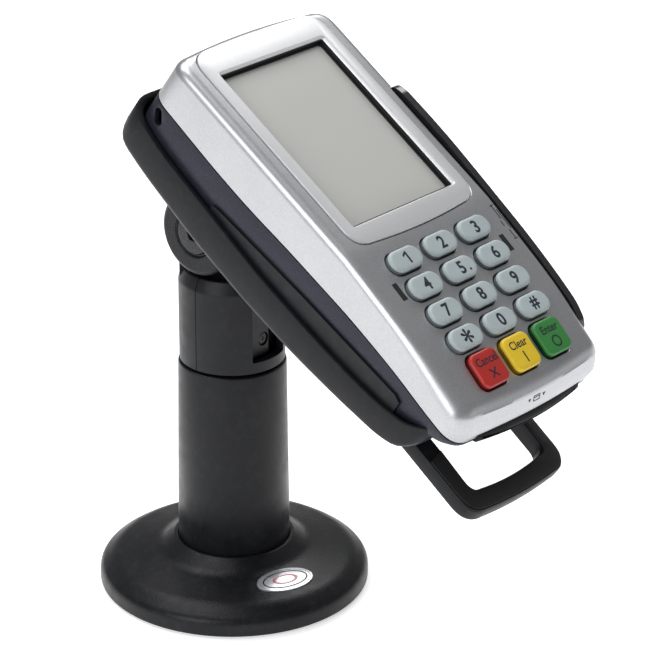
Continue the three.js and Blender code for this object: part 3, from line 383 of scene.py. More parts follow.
def block(x0, x1, y0, y1, z0, z1, where=WORLD_FRAME):
    return prism([(x0, y0), (x1, y0), (x1, y1), (x0, y1)], z0, z1, where)


def rounded(half_x, low_y, high_y, radius, steps=8):
    """A rectangle with round corners, as (x, y) pairs."""
    points = []
    for cx, cy, start in ((1, -1, -90), (1, 1, 0), (-1, 1, 90), (-1, -1, 180)):
        x = cx * (half_x - radius)
        y = (high_y - radius) if cy > 0 else (low_y + radius)
        for k in range(steps + 1):
            angle = math.radians(start + 90 * k / steps)
            points.append((x + radius * math.cos(angle), y + radius * math.sin(angle)))
    return points


def plan(half, low, top, corner, bow_low=1.6, bow_top=1.6, side_steps=48):
    """The terminal's or the cradle's outline from the middle of its lower end, as (x, s) pairs."""
    right = [((half - corner) * t / 10, low + bow_low * (t / 10) ** 2) for t in range(11)]
    y = low + bow_low
    for k in range(1, 9):
        t = k / 8
        right.append((half - corner * (1 - t) ** 2, y + corner * t * t))
    start, end = y + corner, top - bow_top - corner
    for k in range(1, side_steps):
        right.append((half, start + (end - start) * k / side_steps))
    y = top - bow_top
    for k in range(9):
        t = k / 8
        right.append((half - corner * t * t, y - corner * (1 - t) ** 2))
    right += [((half - corner) * t / 10, top - bow_top * (t / 10) ** 2) for t in range(9, -1, -1)]
    return right + [(-x, s) for x, s in right[-2:0:-1]]


def level(points):
    """A height along s, read off a line of (s, n) pairs with its corners eased."""
    eased = sorted(softened(sorted(points), 8))

    def height(s):
        s = min(max(s, eased[0][0]), eased[-1][0])
        for (s0, n0), (s1, n1) in zip(eased, eased[1:]):
            if s <= s1:
                return n0 + (n1 - n0) * (s - s0) / max(s1 - s0, 1e-9)
        return eased[-1][1]
    return height


# ---- heights shared by the terminal's parts ------------------------------------------------------
DISPLAY_SLOPE = math.tan(math.radians(DISPLAY_LEAN))
KEYPAD_SLOPE = math.tan(math.radians(KEYPAD_LEAN))
BEZEL_PROUD = 0.6
KEY_PROUD = 2.6
lower_face = level([(-96, -5.8), (-93, -5.0), (-90, -4.8), (-86, -4.33),
                    (-66.94, -1.392), (-50, -0.578)])
LOWER_FACE_BELOW, FACE_BLEND = -58, 0.12


def face_level(s):
    """The cover's height along s: the display's and the keypad's planes, then the lower face."""
    if s < LOWER_FACE_BELOW:
        return lower_face(s)
    on_display = DISPLAY_N - BEZEL_PROUD + (s - DISPLAY_S) * DISPLAY_SLOPE
    on_keypad = KEYPAD_N - KEY_PROUD + (s - KEYPAD_S) * KEYPAD_SLOPE
    gap = abs(on_display - on_keypad)
    ease = max(0.0, FACE_BLEND - gap) ** 2 / (4 * FACE_BLEND)
    return min(on_display, on_keypad) - ease


parting_level = level([(-98, -17.6), (-80, -17.6), (-60, -16.4), (-35, -16.6), (0, -19), (20, -21),
                       (40, -21.8), (82, -21.8)])
under_level = level([(79.4, -30), (78.4, -37), (74, -41.6), (66, -43.4), (30, -44.8), (0, -44),
                     (-25, -42), (-50, -38.4), (-68, -34), (-78, -28.6), (-88, -24), (-94, -22),
                     (-96, -20)])
BODY_HALF, BODY_LOW, BODY_TOP, BODY_CORNER = 41.5, -96, 79.4, 9
# The card mouth is an arch; its outline is drawn in the plane that faces the user.
END_VIEW = HEAD @ Matrix.Rotation(math.radians(90), 4, "X")
MOUTH_HALF = 29.9


def arch(x, rise, fall, half=MOUTH_HALF):
    return rise - fall * (x / half) ** 2


def card_mouth():
    steps = [MOUTH_HALF * 1.01 * (k / 12 - 1) for k in range(25)]
    top = [(x, arch(x, -14.0, 1.2) + 0.15) for x in steps[::-1]]
    low = [(x, arch(x, -18.8, 0.5) - 0.15) for x in steps]
    return prism(low + top, 88, 102, END_VIEW)


# ---- base and pole -------------------------------------------------------------------------------
BASE_RADIUS = half_width("base_plate")
BASE_TOP = top_of("base_plate")
# The label lies on the slope between these two circles, each a radius and a height.
SLOPE_FOOT, SLOPE_HEAD = (46.6, 11.5), (29.4, 14.8)
base = turned(
    [(0, 2.0), (50.3, 2.0), (50.3, 0.8)]
    + softened([(51.0, 0.8), (BASE_RADIUS, 0.8), (BASE_RADIUS, 7.2), SLOPE_FOOT, SLOPE_HEAD,
                (23.4, BASE_TOP), (22.3, BASE_TOP)], 2.4, steps=6)
    + [(22.3, 15.0), (0, 15.0)], segments=160)
BADGE_CENTRE = Vector((-9.6, -35.2))
BADGE_TURN = -0.34


def badge_frame():
    reach = BADGE_CENTRE.length
    fall = math.atan2(SLOPE_HEAD[1] - SLOPE_FOOT[1], SLOPE_FOOT[0] - SLOPE_HEAD[0])
    outward = BADGE_CENTRE.normalized()
    lean = Matrix.Rotation(fall, 4, Vector((-outward.y, outward.x, 0)))
    height = SLOPE_HEAD[1] - (reach - SLOPE_HEAD[0]) * math.tan(fall)
    return (Matrix.Translation((BADGE_CENTRE.x, BADGE_CENTRE.y, height)) @ lean
            @ Matrix.Rotation(BADGE_TURN, 4, "Z"))


BADGE = badge_frame()


def oval(half_x, half_y, z, steps=64):
    angles = [2 * math.pi * i / steps for i in range(steps)]
    return [(half_x * math.cos(a), half_y * math.sin(a), z) for a in angles]


cut(base, rings([oval(12.1, 6.7, -0.5), oval(12.1, 6.7, 5)], BADGE))
finish(base, "base_dish", "stand", "base_paint", ["base_plate"])
badge = rings([oval(11.9, 6.5, -0.45), oval(11.9, 6.5, 0.25), oval(11.7, 6.3, 0.42),
               oval(10.9, 5.6, 0.46), oval(10.7, 5.4, 0.36), oval(7, 3.5, 0.5), oval(2.5, 1.2, 0.56)],
              BADGE)
finish(badge, "base_label", "stand", "badge", ["base_badge"], sharp=20)
for index, (outer, inner) in enumerate((((9.6, 4.7), (9.0, 4.2)), ((5.4, 2.6), (4.7, 2.0)))):
    lift = 0.42 if index == 0 else 0.54
    printed = rings([oval(*inner, lift), oval(*outer, lift), oval(*outer, lift + 0.06),
                     oval(*inner, lift + 0.06), oval(*inner, lift)], BADGE)
    finish(printed, "label_ring_%d" % (index + 1), "stand", "badge",
           look="ink" if index == 0 else "badge_red")
finish(turned([(0, 0.0), (49.4, 0.0), (50, 0.5), (50, 1.98), (0, 1.98)]),
       "foot_pad", "stand", "foot_rubber", ["base_foot_pad"])
TUBE_TOP = top_of("pole_tube")
finish(turned([(18, 15), (21.9, 15), (22.0, 15.2), (20.95, TUBE_TOP - 0.9), (20.8, TUBE_TOP - 0.35),
               (20.5, TUBE_TOP - 0.08), (20.2, TUBE_TOP), (18, TUBE_TOP)]),
       "pole_sleeve", "stand", "pole_paint", ["pole_tube"])

# ---- swivel collar -------------------------------------------------------------------------------
COLLAR_PROFILE = (
    [(17.2, 95.6)]
    + softened([(19.6, 95.6), (20.4, 95.6), (20.4, 128.4), (18.4, 133.2), (17.2, 133.2)], 0.7)
)


def collar():
    return turned(COLLAR_PROFILE)


cutout_outline = softened([(-8.75, 100), (8.75, 100), (8.75, 140), (-8.75, 140)], 0.8, closed=True)
CUTOUT_FRAME = Matrix.Rotation(math.radians(90), 4, "X")
front = cut(collar(), block(-30, 30, -0.15, 40, 80, 150),
            prism(cutout_outline, 13.1, 30, CUTOUT_FRAME))
finish(front, "collar_half_front", "swivel_neck", "stand_plastic", ["collar_front"], bevel=0.25)
rear = cut(collar(), block(-30, 30, -40, 0.15, 80, 150))
upstand = turned([(17.2, 118.4), (19.9, 118.4), (19.9, 141.8), (19.3, 142.5), (17.2, 142.5)])
wedge = [(0, 0)] + [(40 * math.cos(math.radians(a)), 40 * math.sin(math.radians(a)))
                    for a in range(40, 141, 10)]
keep(upstand, prism(wedge, 90, 160))
cut(upstand, turned([(0, -26), (17.2, -26), (17.2, 26), (0, 26)],
                    Matrix.Translation(PIVOT) @ ALONG_X))
weld(rear, upstand)
for z in (104, 124):
    lie = Matrix.Translation((0, 0, z)) @ Matrix.Rotation(math.radians(-90), 4, "X")
    cut(rear, turned([(0, 10), (1.9, 10), (1.9, 30), (0, 30)], lie, 32),
        turned([(0, 17), (3.3, 17), (3.3, 30), (0, 30)], lie, 32))
finish(rear, "collar_half_rear", "swivel_neck", "stand_plastic", ["collar_rear"], bevel=0.25)
cable_plate = prism(softened([(-8.45, 100.3), (3, 100.3), (3, 128), (-8.45, 128)], 0.9, closed=True),
                    13.3, 16, CUTOUT_FRAME)
screw_axis = Matrix.Translation((0, 0, 106.8)) @ CUTOUT_FRAME
cut(cable_plate, turned([(0, 10), (1.8, 10), (1.8, 15), (2.7, 15), (2.7, 30), (0, 30)],
                        screw_axis, 32))
finish(cable_plate, "cable_cover_plate", "swivel_neck", "stand_plastic", ["cable_cover"], bevel=0.2)
cross_screw = turned([(0, 13.2), (1.2, 13.2), (1.2, 15.05), (2.3, 15.05), (2.25, 15.45),
                      (1.6, 15.7), (0, 15.75)], screw_axis, 32)
cut(cross_screw, prism([(-1.3, -0.25), (1.3, -0.25), (1.3, 0.25), (-1.3, 0.25)], 15.4, 17, screw_axis),
    prism([(-0.25, -1.3), (0.25, -1.3), (0.25, 1.3), (-0.25, 1.3)], 15.4, 17, screw_axis))
finish(cross_screw, "cable_cover_cross_screw", "swivel_neck", "steel", ["cable_cover_screw"],
       look="bolt_black")

# ---- tilt hinge ----------------------------------------------------------------------------------
EAR_RADIUS, EAR_INNER, EAR_OUTER = 16.6, 12.4, 21.0
PLATE_LOW = -51.4
WEB_HALF, RECESS_CLEAR = 15.4, 8.8
ear_profile = [(4.3, EAR_INNER)] + softened([
    (4.3, EAR_INNER), (EAR_RADIUS, EAR_INNER), (EAR_RADIUS, EAR_OUTER - 1.5),
    (EAR_RADIUS - 1.7, EAR_OUTER), (9.4, EAR_OUTER)], 0.8)[1:]
ear_profile += [(8.6, EAR_OUTER - 0.8), (8.1, EAR_OUTER - 0.8), (8.1, EAR_OUTER - 3.4),
                (4.3, EAR_OUTER - 3.4)]
arc = [(PIVOT_S - RECESS_CLEAR * math.cos(a), PIVOT_N + RECESS_CLEAR * math.sin(a))
       for a in (math.pi * k / 16 for k in range(17))]
web_outline = [(PIVOT_S - WEB_HALF, PIVOT_N), *arc, (PIVOT_S + WEB_HALF, PIVOT_N),
               (PIVOT_S + WEB_HALF, PLATE_LOW), (PIVOT_S - WEB_HALF, PLATE_LOW)]
bracket = prism(rounded(24, 14, 68, 5), -54.4, -50.9, HEAD)
for side in (-1, 1):
    ear = turned(ear_profile, AT_PIVOT @ Matrix.Scale(side, 4, (1, 0, 0)) @ ALONG_X)
    low, high = sorted((side * (EAR_INNER + 0.01), side * (EAR_OUTER - 1.5)))
    weld(bracket, ear, side_prism(web_outline, low, high))
finish(bracket, "tilt_knuckle", "head", "hinge_casting", ["tilt_bracket"], bevel=0.3)


def socket_ring(across_flats, height, steps=96):
    """A hexagon with as many points as a turned ring, for a hex socket."""
    points = []
    for i in range(steps):
        degrees = 360 * i / steps
        radius = across_flats / 2 / math.cos(math.radians(degrees % 60 - 30))
        angle = math.radians(degrees)
        points.append((radius * math.cos(angle), radius * math.sin(angle), height))
    return points


bolt = rings([oval(4, 4, 21.4, 96), oval(4, 4, -17.7, 96), oval(7.8, 7.8, -17.7, 96),
              oval(7.8, 7.8, -20.8, 96), oval(7.4, 7.4, -21.3, 96), oval(6.7, 6.7, -21.5, 96),
              socket_ring(4.8, -21.5), socket_ring(4.8, -18.7)], AT_PIVOT @ ALONG_X)
finish(bolt, "hinge_socket_bolt", "head", "steel", ["hinge_bolt"], look="bolt_black", bevel=0.2)

# ---- cradle --------------------------------------------------------------------------------------
CRADLE_HALF, CRADLE_LOW, CRADLE_TOP, CRADLE_CORNER = 45.0, -85.0, 82.0, 11
CRADLE_EDGE = 3.4
cradle_under = level([(82, -36.5), (80.8, -43), (77, -47), (62, -49), (30, -50.6), (0, -50), (-25, -48),
                      (-50, -44.4), (-70, -40.6), (-79, -37), (-83.6, -31.5), (-85, -26)])
cradle_wall = level([(-85, -19.5), (-80, -22.6), (-75, -25.6), (-65, -28.6), (-50, -31), (-30, -33),
                     (0, -34.8), (60, -34), (78, -31), (82, -29.5)])
cradle_floor = level([(78, -43.6), (62, -45.8), (30, -47.2), (0, -46.6), (-25, -44.6), (-50, -41),
                      (-70, -37.2), (-79, -33), (-82, -28)])


def cradle_loop(inset, height):
    outline = plan(CRADLE_HALF - inset, CRADLE_LOW + inset, CRADLE_TOP - inset,
                   max(CRADLE_CORNER - inset, 3), 0.0, 0.0)
    return [(x, s, height(s)) for x, s in outline]


tray_loops = []
for k in range(7):
    angle = math.radians(90 * k / 6)
    inset, rise = CRADLE_EDGE * (1 - math.sin(angle)), CRADLE_EDGE * (1 - math.cos(angle))
    tray_loops.append(cradle_loop(
        inset, lambda s, r=rise: min(cradle_under(s) + r, cradle_wall(s) - 1.2)))
tray_loops += [
    cradle_loop(0.0, lambda s: cradle_wall(s) - 0.6),
    cradle_loop(0.18, lambda s: cradle_wall(s) - 0.18),
    cradle_loop(0.6, lambda s: cradle_wall(s)),
    cradle_loop(1.6, lambda s: cradle_wall(s)),
    cradle_loop(2.05, lambda s: cradle_wall(s) - 0.2),
    cradle_loop(2.2, lambda s: cradle_wall(s) - 0.6),
    cradle_loop(2.2, lambda s: min(cradle_floor(s) + 1.2, cradle_wall(s) - 0.8)),
    cradle_loop(2.6, lambda s: min(cradle_floor(s) + 0.4, cradle_wall(s) - 0.9)),
    cradle_loop(3.4, lambda s: min(cradle_floor(s), cradle_wall(s) - 1.0)),
]
tray = rings(tray_loops, HEAD, strips=True)
# A sloping rim closes the gap to the casing at the upper end, where s is past this.
RIM_START = 44
rim_slices = []
for (x, s), (inner_x, inner_s) in zip(
        plan(CRADLE_HALF - 1.2, CRADLE_LOW, CRADLE_TOP - 1.2, 9.8, 0.0, 0.0),
        plan(BODY_HALF + 0.3, CRADLE_LOW, BODY_TOP + 0.3, BODY_CORNER + 0.3, 0.0, 0.0)):
    if s < RIM_START:
        continue
    top = cradle_wall(s)
    rim_slices.append([(x, s, top - 0.05), (inner_x, inner_s, top - 1.1),
                       (inner_x, inner_s, top - 5), (x, s, top - 5)])
weld(tray, rings(rim_slices, HEAD))
cut(tray, prism(rounded(9, -22, 2, 3), -60, -30, HEAD))
finish(tray, "cradle_shell", "head", "stand_plastic", ["cradle_tray"])


def handle_outline(half, end, bow, corner, start, steps=10):
    """Half of the loop's outline from its root to the middle of its end, as (x, s) pairs."""
    points = [(half, start + (end + corner - start) * k / steps) for k in range(steps)]
    for k in range(steps + 1):
        t = k / steps
        points.append((half - corner * t * t, end + corner * (1 - t) ** 2))
    for k in range(1, steps + 1):
        t = k / steps
        points.append(((half - corner) * (1 - t), end - bow * 0.5 * (1 - (1 - t) ** 2)))
    return points


def handle_section(inner, outer, lift=0.0, skin=False):
    """A ring of points across the loop, from its outer foot over its top to its inner foot."""
    ix, iy = inner
    ox, oy = outer

    def at(t, n):
        return (ox + (ix - ox) * t, oy + (iy - oy) * t, n)
    slope = min(max((-85 - iy) / 20, 0), 1)
    inner_top = -41.6 - 0.9 * slope
    outer_top = -43.2
    if skin:
        top = [(0.10, outer_top), (0.16, outer_top + 0.25), (0.84, inner_top + 0.2),
               (0.90, inner_top)]
        return ([at(t, n + lift) for t, n in top]
                + [at(0.88, inner_top - 0.9), at(0.12, outer_top - 0.9)])
    return [at(0.12, -49.6), at(0.02, -48.9), at(0.0, -48.0), at(0.0, outer_top - 0.9),
            at(0.05, outer_top - 0.2), at(0.12, outer_top), at(0.88, inner_top),
            at(0.95, inner_top - 0.2), at(1.0, inner_top - 0.9), at(1.0, -48.0), at(0.98, -48.9),
            at(0.88, -49.6)]


HANDLE_INNER, HANDLE_OUTER, HANDLE_ROOT = 21.3, 28.6, -72
inner_line = handle_outline(HANDLE_INNER, -104.5, 2.2, 5.0, HANDLE_ROOT)
outer_line = handle_outline(HANDLE_OUTER, -112.6, 1.8, 9.0, HANDLE_ROOT)


def mirrored(sections):
    return sections + [[(-x, s, n) for x, s, n in section] for section in sections[-2::-1]]


def arm_section(s):
    """A ring of points across one arm where it runs up under the tray."""
    top = min(-42.6 + 0.13 * (s + 80), cradle_under(s) + 0.15)
    low = -49.6 - 0.04 * (s + 80)
    profile = [(0.12, low), (0.02, low + 0.7), (0.0, low + 1.6), (0.0, top - 0.9), (0.05, top - 0.2),
               (0.12, top), (0.88, top), (0.95, top - 0.2), (1.0, top - 0.9), (1.0, low + 1.6),
               (0.98, low + 0.7), (0.88, low)]
    return [(HANDLE_OUTER + (HANDLE_INNER - HANDLE_OUTER) * t, s, n) for t, n in profile]


arms = [arm_section(s) for s in range(-34, -71, -4)]
around = [handle_section(a, b) for a, b in zip(inner_line, outer_line)]
handle = rings(mirrored(arms + around), HEAD)
finish(handle, "handle_loop", "head", "stand_plastic", ["cradle_handle"])
grip = rings(mirrored([handle_section(a, b, 0.45, True)
                       for a, b in list(zip(inner_line, outer_line))[5:]]), HEAD)
finish(grip, "handle_soft_top", "head", "grip_rubber", ["handle_grip"])

# ---- rear casing ---------------------------------------------------------------------------------
def body_loop(inset, height):
    outline = plan(BODY_HALF - inset, BODY_LOW + inset, BODY_TOP - inset,
                   max(BODY_CORNER - inset, 2.5))
    return [(x, s, height(s)) for x, s in outline]


def casing_height(share, drop):
    def height(s):
        wall = parting_level(s) - 0.15 - under_level(s)
        return under_level(s) + min(drop, wall * 0.8 * share)
    return height


CASING_EDGE = 6
casing_loops = []
for k in range(8):
    angle = math.radians(90 * k / 7)
    inset, drop = CASING_EDGE * (1 - math.sin(angle)), CASING_EDGE * (1 - math.cos(angle))
    casing_loops.append(body_loop(inset, casing_height(k / 7, drop)))
casing_loops += [
    body_loop(0.0, lambda s: parting_level(s) - 0.45),
    body_loop(0.12, lambda s: parting_level(s) - 0.22),
    body_loop(0.45, lambda s: parting_level(s) - 0.15),
]
cavity_loops = [
    body_loop(8.0, lambda s: min(under_level(s) + 2.2, parting_level(s) - 2.5)),
    body_loop(4.0, lambda s: min(under_level(s) + 3.0, parting_level(s) - 2.0)),
    body_loop(2.4, lambda s: min(under_level(s) + 6.0, parting_level(s) - 1.5)),
    body_loop(2.2, lambda s: parting_level(s) + 3),
]
casing = cut(rings(casing_loops, HEAD, strips=True), rings(cavity_loops, HEAD, strips=True))
lock_frame = (HEAD @ Matrix.Translation((-BODY_HALF, 69.8, -26.7))
              @ Matrix.Rotation(math.radians(56), 4, "X") @ Matrix.Rotation(math.radians(90), 4, "Y"))
cut(casing, prism(rounded(1.8, -3.4, 3.4, 1.6), -3, 3, lock_frame), card_mouth())
finish(casing, "casing_shell", "head", "casing_slate", ["rear_casing"])

# ---- front cover ---------------------------------------------------------------------------------
SHOULDER = 4.2
cover_loops = [
    body_loop(0.35, lambda s: parting_level(s) + 0.15),
    body_loop(0.0, lambda s: parting_level(s) + 0.5),
]


def shoulder_growth(s):
    """The shoulder rolls off more broadly towards the lower end."""
    t = min(max((-45 - s) / 37, 0), 1)
    return 1 + 0.8 * t * t * (3 - 2 * t)


# The lower end is a steep wall that meets the face in a crease, instead of the round shoulder of
# the sides. Each pair is a step's distance in from the outside and its depth below the face, both as
# shares of the shoulder.
CREASE = ((0, 1), (0.16, 0.72), (0.36, 0.40), (0.42, 0.29), (0.52, 0.235), (0.62, 0.17), (0.72, 0.11),
          (0.82, 0.055), (0.92, 0.015), (1, 0))


def shoulder_loop(k):
    outside = body_loop(0, face_level)
    inside = body_loop(1, face_level)
    angle = math.radians(90 * k / (len(CREASE) - 1))
    rounded_across, rounded_down = 1 - math.cos(angle), 1 - math.sin(angle)
    creased_across, creased_down = CREASE[k]
    points = []
    for (x, s, _), (inner_x, inner_s, _) in zip(outside, inside):
        share = max(inner_s - s, 0) ** 2
        size = SHOULDER * shoulder_growth(s)
        across = size * (rounded_across + (creased_across - rounded_across) * share)
        down = size * (rounded_down + (creased_down - rounded_down) * share)
        at = s + (inner_s - s) * across
        points.append((x + (inner_x - x) * across, at, face_level(at) - down))
    return points


cover_loops += [shoulder_loop(k) for k in range(len(CREASE))]
cover = rings(cover_loops, HEAD, strips=True)


def inside_level(s):
    return face_level(s) - (2.0 if s < -21 else 3.4)


cut(cover, rings([
    body_loop(2.2, lambda s: parting_level(s) - 3),
    body_loop(2.2, lambda s: inside_level(s) - 2.0),
    body_loop(4.6, inside_level),
], HEAD, strips=True))


def bezel_outline(growth, inset=0.0):
    half, low, top = 34 + growth - inset, -46.2 - growth + inset, 49.2 + growth - inset
    corner = 9 - inset
    right = [((half - corner) * t / 12, low - 1.2 * (1 - (t / 12) ** 2)) for t in range(13)]
    for k in range(1, 11):
        t = k / 10
        right.append((half - corner * (1 - t) ** 2, low + corner * t * t))
    for k in range(11):
        t = k / 10
        right.append((half - corner * t * t, top - corner * (1 - t) ** 2))
    right += [((half - corner) * t / 12, top + 0.5 * (1 - (t / 12) ** 2)) for t in range(11, -1, -1)]
    return right + [(-x, y) for x, y in right[-2:0:-1]]


def flared(outlines, where):
    return rings([[(x, y, z) for x, y in outline] for outline, z in outlines], where)


WINDOW_HALF_X, WINDOW_HALF_Y = 28.0, 37.75
cut(cover,
    flared([(bezel_outline(0.25), -2.02), (bezel_outline(0.25), -0.95), (bezel_outline(0.6), -0.5),
            (bezel_outline(0.6), 6)], DISPLAY),
    prism(rounded(WINDOW_HALF_X + 2.2, -WINDOW_HALF_Y - 2.2, WINDOW_HALF_Y + 2.2, 1), -9, 3, DISPLAY))

KEY_PITCH_X, KEY_PITCH_Y = 19.4, 11.75
KEY_WIDTH, KEY_LENGTH, KEY_CORNER = 15.7, 8.8, 4.2
FUNCTION_PITCH, FUNCTION_WIDTH, FUNCTION_LENGTH, FUNCTION_CORNER = 18.1, 14.1, 13.6, 3.0
NUMBER_KEYS = ["1", "2", "3", "4", "5", "6", "7", "8", "9", "star", "0", "hash"]
keys = []
for index, label in enumerate(NUMBER_KEYS):
    keys.append(("key_" + label, (index % 3 - 1) * KEY_PITCH_X, -(index // 3) * KEY_PITCH_Y,
                 KEY_WIDTH, KEY_LENGTH, KEY_CORNER, KEYPAD, "key_grey"))
FUNCTION_KEYS = (("cancel", -1, "key_red"), ("clear", 0, "key_yellow"), ("enter", 1, "key_green"))
for label, side, slot_name in FUNCTION_KEYS:
    keys.append(("key_" + label, side * FUNCTION_PITCH, 0, FUNCTION_WIDTH, FUNCTION_LENGTH,
                 FUNCTION_CORNER, FUNCTION_ROW, slot_name))


def key_outline(x, y, width, length, corner, growth):
    half_x, half_y = width / 2 + growth, length / 2 + growth
    r = max(min(corner + growth, half_y - 0.01), 0.3)
    return [(x + px, y + py) for px, py in rounded(half_x, -half_y, half_y, r, 7)]


holes = None
for _, x, y, width, length, corner, where, _ in keys:
    hole = flared([(key_outline(x, y, width, length, corner, g), z) for g, z in (
        (0.4, -9), (0.4, -KEY_PROUD - 0.55), (0.52, -KEY_PROUD - 0.25), (0.85, -KEY_PROUD + 0.02),
        (1.1, -KEY_PROUD + 0.3), (1.1, 4))], where)
    if holes is None:
        holes = hole
        continue
    shape = bmesh.new()
    shape.from_mesh(holes.data)
    shape.from_mesh(hole.data)
    shape.to_mesh(holes.data)
    shape.free()
    bpy.data.objects.remove(hole)
cut(cover, holes)
rail_notch = softened([(37.9, -80.3), (50, -80.3), (50, 36.3), (37.9, 36.3)], 2.5, closed=True)
cut(cover, prism(rail_notch, -12, 10, HEAD), card_mouth())
finish(cover, "cover_shell", "head", "cover_silver", ["front_cover"], sharp=30)

# ---- display -------------------------------------------------------------------------------------
bezel = flared([(bezel_outline(0), -2), (bezel_outline(0), -0.45), (bezel_outline(0, 0.06), -0.22),
                (bezel_outline(0, 0.22), -0.06), (bezel_outline(0, 0.45), 0)], DISPLAY)


def window(growth):
    return rounded(WINDOW_HALF_X + growth, -WINDOW_HALF_Y - growth, WINDOW_HALF_Y + growth,
                   0.8 + max(growth, 0), 5)


cut(bezel, flared([(window(0), -6), (window(0), -1.1), (window(0.12), -0.85), (window(0.95), 0.02),
                   (window(1.2), 0.3), (window(1.2), 4)], DISPLAY))
finish(bezel, "bezel_panel", "head", "bezel_silver", ["display_bezel"], sharp=25)


def skin_frame(outer, inner, low, high, where):
    count = len(outer)
    verts = ([(x, y, low) for x, y in outer] + [(x, y, high) for x, y in outer]
             + [(x, y, high) for x, y in inner] + [(x, y, low) for x, y in inner])
    faces = []
    for a, b in ((0, 1), (1, 2), (2, 3), (3, 0)):
        for i in range(count):
            j = (i + 1) % count
            faces.append((a * count + i, a * count + j, b * count + j, b * count + i))
    return raw(verts, faces, where)


finish(skin_frame(window(-0.02), window(-0.35), -2.6, -1.15, DISPLAY), "window_lining", "head",
       "display_black")
mask_outer = rounded(WINDOW_HALF_X + 1.8, -WINDOW_HALF_Y - 1.8, WINDOW_HALF_Y + 1.8, 1.5, 6)
mask_inner = rounded(WINDOW_HALF_X - 1.0, -WINDOW_HALF_Y + 0.9, WINDOW_HALF_Y - 1.1, 1.6, 6)
finish(skin_frame(mask_outer, mask_inner, -3.3, -2.65, DISPLAY), "screen_mask", "head", "display_black")
pane_outline = rounded(WINDOW_HALF_X + 1.7, -WINDOW_HALF_Y - 1.7, WINDOW_HALF_Y + 1.7, 1.5, 6)
finish(flared([(pane_outline, -3.6), (pane_outline, -3.32)], DISPLAY), "screen_pane", "head",
       "display_glass", ["display_lens"])

# ---- keys and their print ------------------------------------------------------------------------
CAP_LAYERS = ((-0.6, -1.6), (0.0, -1.55), (0.0, -1.1), (-0.07, -0.75), (-0.24, -0.42), (-0.52, -0.17),
              (-0.9, -0.05), (-1.4, 0.0), (-2.2, 0.0))
SKIRT_LAYERS = ((0.85, -5.8), (0.85, -5.05), (0.0, -5.04), (0.0, -1.62), (-0.5, -1.61))
# Each key is a pale cap on a side wall in a darker copy of its colour; that darker colour is painted
# shade.
for name, x, y, width, length, corner, where, slot_name in keys:
    for part, layers in (("cap", CAP_LAYERS), ("skirt", SKIRT_LAYERS)):
        skin = flared([(key_outline(x, y, width, length, corner, g), z) for g, z in layers], where)
        if part == "cap":
            finish(skin, name + "_cap", name, slot_name, [name])
        else:
            finish(skin, name + "_skirt", name, slot_name, look=slot_name.replace("key", "skirt"))


def lettering(text, x, y, size, weight, where, body, name, slot_name="key_grey"):
    curve = bpy.data.curves.new(name, "FONT")
    curve.body = text
    curve.size = size
    curve.offset = weight
    curve.extrude = 0.02
    curve.align_x = "CENTER"
    curve.align_y = "CENTER"
    curve.resolution_u = 4
    maker = bpy.data.objects.new(name, curve)
    bpy.context.scene.collection.objects.link(maker)
    graph = bpy.context.evaluated_depsgraph_get()
    mesh = bpy.data.meshes.new_from_object(maker.evaluated_get(graph))
    bpy.data.objects.remove(maker)
    xs = [v.co.x for v in mesh.vertices]
    ys = [v.co.y for v in mesh.vertices]
    centre = Matrix.Translation((-(min(xs) + max(xs)) / 2, -(min(ys) + max(ys)) / 2, 0))
    narrow = Matrix.Scale(0.95, 4, (1, 0, 0))
    mesh.transform(where @ Matrix.Translation((x, y, PRINT_LIFT)) @ narrow @ centre)
    obj = bpy.data.objects.new(name, mesh)
    bpy.context.scene.collection.objects.link(obj)
    return finish(obj, name, body, slot_name, look="ink")


PRINT_LIFT = 0.02
LEGENDS = {"star": "*", "hash": "#"}
ONE = [(0.2, -2.5), (1.05, -2.5), (1.05, 2.5), (0.4, 2.5), (-1.35, 1.35), (-1.35, 0.5), (0.2, 1.4)]
for name, x, y, _, _, _, where, _ in keys[:len(NUMBER_KEYS)]:
    label = name[4:]
    if label == "1":
        finish(prism([(x + px, y + py) for px, py in ONE], 0.0, 0.04, where), name + "_figure", name,
               "key_grey", look="ink")
    else:
        lettering(LEGENDS.get(label, label), x, y, 12.5 if label == "star" else 7.0, 0.17, where,
                  name, name + "_figure")
    if label == "5":
        finish(turned([(0, -0.2), (0.5, -0.2), (0.45, 0.12), (0.25, 0.28), (0, 0.32)],
                      KEYPAD @ Matrix.Translation((x + 3.6, y - 1.9, 0)), 24),
               "key_5_pip", name, "key_grey", look="ink")
for name, x, y, _, _, _, where, slot_name in keys[len(NUMBER_KEYS):]:
    lettering(name[4:].capitalize(), x, y + 2.9, 4.4, 0.06, where, name, name + "_word", slot_name)
cancel_x, clear_x, enter_x = (side * FUNCTION_PITCH for side in (-1, 0, 1))
SYMBOL_Y = -2.4


def stroke(x, y, length, width, angle, z, where=KEYPAD):
    turn = where @ Matrix.Translation((x, y, 0)) @ Matrix.Rotation(math.radians(angle), 4, "Z")
    return prism(softened([(-length / 2, -width / 2), (length / 2, -width / 2), (length / 2, width / 2),
                           (-length / 2, width / 2)], 0.12, closed=True), z, z + 0.03, turn)


finish(weld(stroke(cancel_x, SYMBOL_Y, 5.0, 0.6, 45, PRINT_LIFT, FUNCTION_ROW),
            stroke(cancel_x, SYMBOL_Y, 5.0, 0.6, -45, PRINT_LIFT, FUNCTION_ROW)),
       "key_cancel_mark", "key_cancel", "key_red", look="ink")
finish(stroke(clear_x, SYMBOL_Y, 4.4, 0.6, 90, PRINT_LIFT, FUNCTION_ROW),
       "key_clear_mark", "key_clear", "key_yellow", look="ink")


def circle(radius, steps=40):
    return [(enter_x + radius * math.cos(2 * math.pi * a / steps),
             SYMBOL_Y + radius * math.sin(2 * math.pi * a / steps)) for a in range(steps)]


